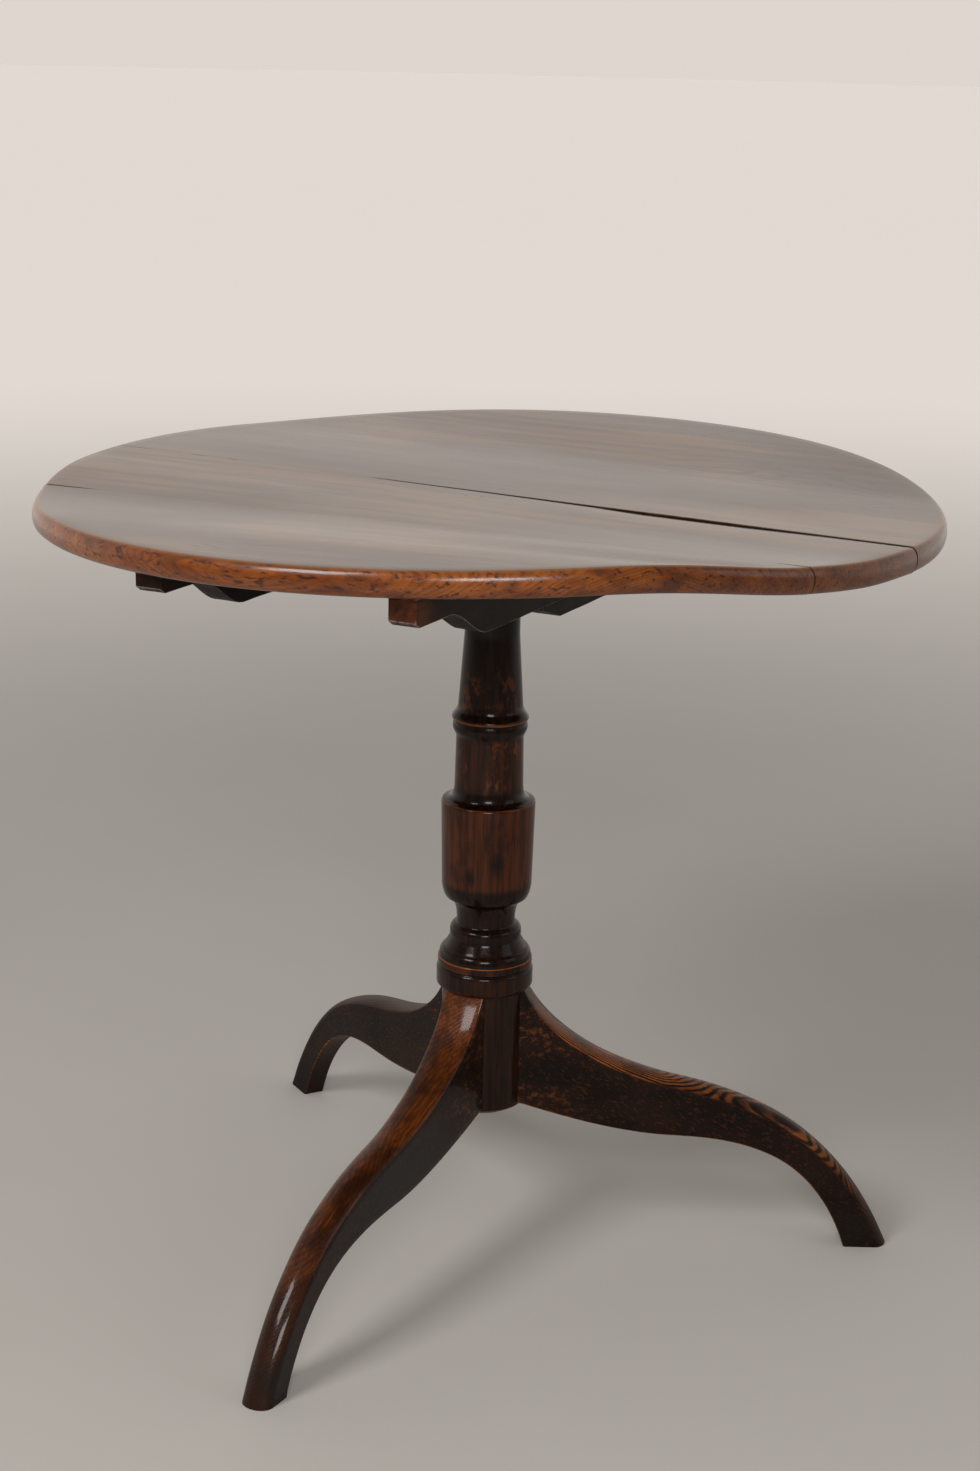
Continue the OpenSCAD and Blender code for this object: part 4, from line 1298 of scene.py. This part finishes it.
plate_screws = [placed(small_screw("screw", 14.5 * MM), s, t, CATCH_TOP - PLATE_T, 0.9 * k + 0.3)
                for k, (s, t) in enumerate(PLATE_SCREWS)]
plate_screws = turned_by(join("catch_screws_cut", plate_screws), GRAIN)

NOSE = -BLOCK_FRONT - KEEPER_T - 1.3 * MM
bolt = saw("catch_bolt_filed", [
    (NOSE - BOLT_L, BOLT_LOW), (NOSE, BOLT_LOW), (NOSE, BOLT_LOW + BOLT_T / 2),
    (NOSE - BOLT_T / 2, BOLT_LOW + BOLT_T), (NOSE - BOLT_L, BOLT_LOW + BOLT_T)],
    -BOLT_W / 2, BOLT_W / 2)
ease_edges(bolt, 0.5 * MM, 2)
turned_by(bolt, GRAIN)

ball = [(6.5 * math.cos(a), -11 + 5.525 * math.sin(a)) for a in np.radians(np.arange(60, -76, -9))]
knob_line = [(0, 0), (3.2, 0), (3.1, -0.6), (2.5, -1.5), (2.5, -4.5), (2.9, -4.9), (3.5, -5.5),
             *ball, (0, -16.525)]
knob = turn("catch_knob_turned", [(r * MM, z * MM) for r, z in reversed(knob_line)], 48)
turned_by(placed(knob, 0, KNOB_T, BOLT_LOW), GRAIN)

keeper = plank("keeper_plate_filed", (-KEEPER_W / 2, -BLOCK_FRONT - KEEPER_T, KEEPER_LOW),
               (KEEPER_W / 2, -BLOCK_FRONT, KEEPER_LOW + KEEPER_H))
ease_edges(keeper, 0.4 * MM, 2)
# The keeper's screws go in from its front face, one on each side of the slot.
facing_front = [(s, -BLOCK_FRONT - KEEPER_T, KEEPER_LOW + KEEPER_H / 2, 0, -math.pi / 2)
                for s in (-15 * MM, 15 * MM)]
slot = bolt_space(-0.11, -0.09, SLOT_GAP)
tools = [placed(rod("sink", (0, 0, 0), *COUNTERSINK), *spot) for spot in facing_front]
carve(keeper, join("keeper_tools", [slot, *tools]))
turned_by(keeper, GRAIN)
keeper_screws = [placed(small_screw("screw", 13.5 * MM), *spot) for spot in facing_front]
keeper_screws = turned_by(join("keeper_screws_cut", keeper_screws), GRAIN)


def batten_screw(name):
    """A hand-cut wood screw with a round head, head down."""
    piece = turn(name, [(0, 0), (3.4 * MM, 0), (4.3 * MM, 0.5 * MM), (4.6 * MM, 1.4 * MM),
                        (4.6 * MM, 2.6 * MM), (2.4 * MM, 2.7 * MM), (2.4 * MM, 26 * MM),
                        (0, 32.5 * MM)], 32)
    carve(piece, plank("slot", (-6 * MM, -0.5 * MM, -MM), (6 * MM, 0.5 * MM, 1.1 * MM)))
    return piece


batten_screws = [
    placed(batten_screw("screw"), s, t, lowest_top(s, t) - SCREW_GRIP - SCREW_HEAD_T, 1.7 * k)
    for k, (s, t) in enumerate((s, t) for s in (-BATTEN_S, BATTEN_S) for t in SCREW_T)]
batten_screws = turned_by(join("batten_screws_cut", batten_screws), GRAIN)
for metal in (plate, plate_screws, bolt, knob, keeper, keeper_screws, batten_screws):
    mark_wear(metal, 1200.0, 1)
print("catch, keeper and", len(SCREW_T) * 2, "batten screws made")

# %% [markdown]
# ## The dark woods
# The column and the legs are elm too, but stained almost black-brown and polished many times. The
# hollows of the column are darker, and the stain is rubbed through on every arris, where the wood
# shows orange. So the finish starts from a dark colour with grain in it, and the wear numbers on the
# points bring out the orange, broken up by a noise so that no edge is rubbed evenly.

# %% Make the column's finish
KNOTS = [(8.5, -39.6, 367.5, 11), (-15.5, -37.4, 354.2, 8), (30, 27, 381, 10), (-20, 34, 372, 8)]


def column_polish():
    """Dark polish over elm, with rubbed arrises, streaks on the drum and a few small knots."""
    finish, place, facing = new_finish("column_polish")
    z = place.part("Z")
    fibre = grained(place, (420, 420, 16), 3, 0.6)
    streak = grained(place, (260, 260, 14), 4, 0.6, 0.4)
    patch = grained(place, (40, 40, 24), 4, 0.62, shift=(2, 0, 5))
    rubs = grained(place, (190, 190, 90), 3, 0.6, shift=(1, 4, 2))
    worn, sheltered = attribute(place, "worn"), attribute(place, "sheltered")

    drum = between(z, 0.338, 0.345, 0.4145, 0.4165)
    shaft = between(z, 0.424, 0.436, 0.47, 0.478)
    band = between(z, 0.2638, 0.265, 0.2704, 0.2712)
    stem = between(z, 0.497, 0.503, 0.515, 0.545)
    foot = rise(z, 0.262, 0.258)

    dark = mix(rise(streak, 0.35, 0.65), (0.005, 0.0022, 0.0014), (0.018, 0.006, 0.003))
    red = mix(rise(streak, 0.36, 0.66), (0.04, 0.0105, 0.004), (0.098, 0.0245, 0.0066))
    red = mix(rise(patch, 0.48, 0.66) * 0.65, red, (0.02, 0.0056, 0.0026))
    color = mix(drum * 0.9 + shaft * 0.4 + foot * 0.15, dark, red)
    lines = rise(fibre, 0.52, 0.72)
    color = mix(lines * (drum * 0.2 + 0.25), color, (0.006, 0.0028, 0.0018))
    mottled = rise(patch, 0.44, 0.6) * rise(rubs, 0.46, 0.6)
    color = mix(mottled * (shaft * 0.8 + stem * 0.6 + drum * 0.12), color, (0.17, 0.043, 0.009))
    color = mix(band * rise(patch, 0.35, 0.62) * 0.6, color, (0.105, 0.027, 0.007))
    rubbed = rise(worn + (patch - 0.5) * 0.8, 0.34, 0.84)
    color = mix(rubbed * 0.8, color, (0.27, 0.072, 0.014))
    color = mix(rise(facing.part("Z"), -0.9, -0.98), color, (0.035, 0.024, 0.018))
    knot = z * 0
    for knot_x, knot_y, knot_z, reach in KNOTS:
        spot = drawn_out(place, (1, 1, 0.6))
        knot = knot + near(spot, (knot_x * MM, knot_y * MM, knot_z * 0.6 * MM), reach * MM)
    color = mix(knot * (rubs * 0.5 + 0.6), color, (0.005, 0.0022, 0.0016))
    # the hollows of the turning are made darker
    hollow_darkening = rise(sheltered + (patch - 0.5) * 0.4, 0.35, 0.95)
    color = mix(hollow_darkening * 0.8, color, (0.0065, 0.005, 0.0042))

    rough = patch * 0.16 + lines * 0.05 + 0.15
    rough = rough + hollow_darkening * 0.3 + rubbed * 0.06
    height = fibre * 0.22 + patch * 0.9 + rubs * 0.25 - lines * 0.15 - knot * 0.4
    surface(color, rough, height, 0.22 * MM, coat_weight=0.24, coat_roughness=0.1,
            specular_ior_level=0.08)
    return finish


hand_over(column, "pedestal", ["column"], column_polish(), 30)

# %% [markdown]
# Each leg is cut from a plank, so its rings are nearly flat sheets, tilted like the slope of the
# knee. Where the rounded crown just touches one sheet, the rings close into an eye, and they run
# away from it as nested arrows. That only needs the heart line to lie deep below the knee. The
# crown is lighter than the sides, partly from the feet's scuffs and partly as painted light, and the
# arrises are rubbed.

# %% Make the finish of a leg
def leg_polish(name, i, tilt, heart, spacing, figure, gloss, light, orange):
    """Dark polish over the rings of a plank, for leg number i."""
    finish, place, facing = new_finish(name)
    leg = drawn_out(place, (1, 1, 1), (0, 0, -LEG_ANGLES[i]))
    out, z = leg.part("X", "Z")
    plank_place = drawn_out(leg, (1, 1, 1), (0, tilt, 0))
    slow = grained(plank_place, (7, 22, 22), 2, 0.5)
    quick = grained(plank_place, (60, 170, 170), 2, 0.5)
    wander = (slow - 0.5) * 0.014 + (quick - 0.5) * 0.0016
    year = yearly_rings(plank_place, heart, spacing, wander)
    late = between(year, 0.25, 0.55, 0.72, 0.98)
    fibre = grained(plank_place, (30, 420, 420), 3, 0.6)
    pore = rise(grained(plank_place, (150, 1400, 1400), 2), 0.55, 0.66)
    speck = rise(grained(plank_place, (230, 620, 620), 2, shift=(1, 2, 3)), 0.57, 0.66)
    patch = grained(leg, (16, 30, 30), 4, 0.62, shift=(i, 2, 1))
    worn = attribute(place, "worn")

    sideways = leg.node("Mapping", {}, {"Vector": facing, "Rotation": (0, 0, -LEG_ANGLES[i])})
    crown = rise(sideways.part("Y").math("ABSOLUTE"), 0.96, 0.72)
    foot = rise(z, 0.06, 0.02)

    dark = mix(rise(patch, 0.35, 0.65), (0.0055, 0.0027, 0.0017), (0.018, 0.0068, 0.0033))
    bright = mix(rise(patch, 0.36, 0.6), (0.04, 0.0105, 0.0038), orange)
    bright = mix(rise(z, 0.13, 0.06) * 0.6, bright, (0.03, 0.0085, 0.0036))
    grain = rise(fibre, 0.42, 0.62)
    # painted light: the crown is lighter than the sides, by the leg's light share; partly orange wood
    # scuffed by feet
    color = coats(
        mix(crown * light, dark, bright),
        (late * (crown * figure + 0.2), (0.008, 0.0042, 0.0028)),
        (grain * crown * (1 - figure) * 0.75, (0.03, 0.0095, 0.0042)),
        (speck * (1 - crown * 0.6) * 0.34, (0.105, 0.03, 0.0085)))
    rubs = grained(leg, (170, 230, 230), 3, 0.6, shift=(2, i, 4))
    chafed = rise(out, 0.12, 0.04) * rise(rubs, 0.53, 0.64) * rise(patch, 0.4, 0.58)
    color = mix(chafed * 0.5, color, (0.19, 0.05, 0.011))
    rubbed = rise(worn + (patch - 0.5) * 0.9 + (fibre - 0.5) * 0.3, 0.34, 0.86)
    color = coats(
        color,
        (rubbed * (1 - late * 0.55) * 0.85, (0.38, 0.115, 0.02)),
        (pore * 0.45, (0.006, 0.0034, 0.0024)),
        (foot * rise(patch, 0.3, 0.62) * 0.9, (0.0105, 0.0072, 0.0055)),
        (rise(facing.part("Z"), -0.8, -0.95) * 0.8, (0.02, 0.013, 0.01)))

    rough = patch * 0.2 + fibre * 0.08 + (0.34 - 0.22 * gloss)
    rough = rough + foot * 0.12 + (1 - crown) * 0.1
    scuffs = grained(leg, (70, 110, 110), 3, 0.6)
    height = patch * 1.4 + fibre * 0.22 + scuffs * 0.55 - late * crown * 0.35 - pore * 0.25
    surface(color, rough, height, 0.24 * MM, coat_weight=0.32 * gloss, coat_roughness=0.1,
            specular_ior_level=0.08)
    return finish


# For each leg: its node, the tilt of its rings, their heart, their spacing in millimetres, and how
# much figure, gloss, painted light on the crown and orange it shows.
LEG_LOOKS = [
    ("right_leg", -31, (0.0, 0.215), 2.6, 0.95, 0.45, 1.0, (0.33, 0.092, 0.015)),
    ("back_leg", -22, (0.05, 0.06), 3.0, 0.35, 0.25, 0.25, (0.19, 0.048, 0.008)),
    ("front_leg", -25, (0.08, 0.02), 2.2, 0.15, 1.0, 0.85, (0.185, 0.045, 0.007)),
]
for i, (node, tilt, heart, spacing, *look) in enumerate(LEG_LOOKS):
    polish = leg_polish(node + "_polish", i, math.radians(tilt), heart, spacing * MM, *look)
    hand_over(legs[i], "pedestal", [node], polish)

# %% [markdown]
# The battens and the block were only stained. They are dull and nearly black where hands never
# reach, brown at their ends, and dust and old cobweb have settled on their rough lower edges. The
# left batten's ends are kept dark, as painted shade. The wedge was left bare, and its end shows as a
# pale line in the dark end of the tenon.

# %% Make the finish of the battens, the block and the wedge
def stained(name, dust, end_brown_less_painted_shade=0.7):
    """Dull stain over rough wood, dust on the edges that stand out, and ends that a low brown share
    leaves in painted shade.
    """
    finish, place, facing = new_finish(name)
    wood = drawn_out(place, (1, 1, 1), GRAIN_TURN)
    fibre = grained(wood, (190, 13, 190), 4, 0.62)
    patch = grained(wood, (30, 18, 30), 4, 0.6, shift=(4, 1, 0))
    fluff = grained(wood, (260, 120, 260), 3, 0.65)
    worn = attribute(place, "worn")
    ends = rise(wood.part("Y").math("ABSOLUTE"), 0.325, 0.35)
    color = mix(rise(patch, 0.35, 0.65), (0.005, 0.0026, 0.0018), (0.017, 0.0068, 0.004))
    color = mix(ends * rise(patch, 0.3, 0.6) * end_brown_less_painted_shade, color, (0.12, 0.032, 0.011))
    color = mix(rise(fibre, 0.48, 0.7) * 0.5, color, (0.006, 0.0038, 0.003))
    rubbed = rise(worn + (patch - 0.5) * 0.8, 0.55, 1.0)
    color = mix(rubbed * 0.45, color, (0.11, 0.038, 0.015))
    low = rise(facing.part("Z"), 0.1, -0.5) * 0.35
    web = rise(worn + low + (fluff - 0.5) * 1.1 + (patch - 0.5) * 0.9, 0.55, 0.95) * dust
    color = mix(web, color, (0.23, 0.21, 0.19))
    rough = fibre * 0.18 + 0.42 + web * 0.35
    surface(color, rough, fibre * 1.1 + patch * 1.2 + fluff * web, 0.3 * MM, specular_ior_level=0.1)
    return finish


def bare_wedge():
    """Pale wood, seen on its end."""
    finish, place, _ = new_finish("bare_wedge")
    grain = grained(place, (700, 700, 60), 3, 0.6)
    color = mix(grain, (0.11, 0.062, 0.032), (0.255, 0.158, 0.085))
    surface(color, grain * 0.2 + 0.55, grain, 0.12 * MM)
    return finish


for piece, body, node, slot, finish in (
    # painted shade: the left batten's ends show little brown, so they look shaded
    (left_batten, "top", "left_batten", "batten_wood", stained("left_batten_stain_shaded", 0.85, 0.15)),
    (right_batten, "top", "right_batten", "batten_wood", stained("right_batten_stain", 0.85)),
    (block, "pedestal", "tilt_block", "batten_wood", stained("block_stain", 0.3)),
    (tenon_wedge, "pedestal", "tenon_wedge", "top_elm", bare_wedge()),
):
    hand_over(piece, body, [node], finish)

# %% [markdown]
# ## The metals
# Old brass is brown in its corners and bright where a thumb slides it. Hand-forged iron is black
# and scaly, with a dull shine on its edges, and the steel screws have darkened. One recipe does all
# three: a base colour, a tarnish that a noise spreads, and a bright edge from the wear numbers.

# %% Make the metals and hand over the small parts
def old_metal(name, base, tarnish, bright, rough_low, scale, depth):
    """A metal with tarnish in patches and bright worn edges."""
    finish, place, _ = new_finish(name)
    patch = cloud(place, scale, 4, 0.62)
    grit = cloud(place, scale * 9, 3, 0.6)
    worn, sheltered = attribute(place, "worn"), attribute(place, "sheltered")
    dull = rise(patch + (grit - 0.5) * 0.4, 0.36, 0.64)
    color = mix(dull, base, tarnish)
    polished = rise(worn + (grit - 0.5) * 0.5, 0.45, 0.95)
    color = mix(polished * 0.8, color, bright)
    dirt = rise(sheltered, 0.3, 0.9)
    color = mix(dirt * 0.8, color, (0.018, 0.014, 0.011))
    rough = dull * 0.26 + grit * 0.1 + rough_low - polished * 0.08 + dirt * 0.2
    surface(color, rough, patch * 0.5 + grit * 0.5, depth * MM, metallic=1.0)
    return finish


# For each metal: its slot, its name, its base, tarnish and bright colours, how rough it is, the
# scale of its patches and the depth of its scale in millimetres.
METALS = [
    ("catch_brass", "aged_brass", (0.4, 0.26, 0.1), (0.115, 0.068, 0.03), (0.62, 0.45, 0.2),
     0.26, 90, 0.06),
    ("screw_steel", "dark_steel", (0.16, 0.145, 0.13), (0.06, 0.046, 0.036), (0.36, 0.34, 0.31),
     0.32, 160, 0.05),
    ("brace_iron", "forged_iron", (0.06, 0.053, 0.048), (0.034, 0.024, 0.018), (0.15, 0.14, 0.13),
     0.46, 60, 0.35),
]
metals = {slot: old_metal(*recipe) for slot, *recipe in METALS}
for piece, body, node, slot in (
    (plate, "top", "catch_plate", "catch_brass"),
    (plate_screws, "top", "catch_screws", "screw_steel"),
    (bolt, "catch", "catch_bolt", "catch_brass"),
    (knob, "catch", "catch_knob", "catch_brass"),
    (keeper, "pedestal", "keeper_plate", "catch_brass"),
    (keeper_screws, "pedestal", "keeper_screws", "screw_steel"),
    (batten_screws, "top", "batten_screws", "screw_steel"),
    (brace, "pedestal", "brace_plate", "brace_iron"),
    (nails, "pedestal", "brace_nails", "brace_iron"),
):
    hand_over(piece, body, [node], metals[slot])

# %% [markdown]
# ## Measure
# The box of the finished pieces is held against the box of the working model, and how far it goes
# past it, in millimetres, is printed.

# %% Measure the sizes
made_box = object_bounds()
over = [round(max(made - cad, 0) / MM, 2) for made, cad in zip(made_box[1], cad_box[1])]
print("over the working box, in mm:", over)
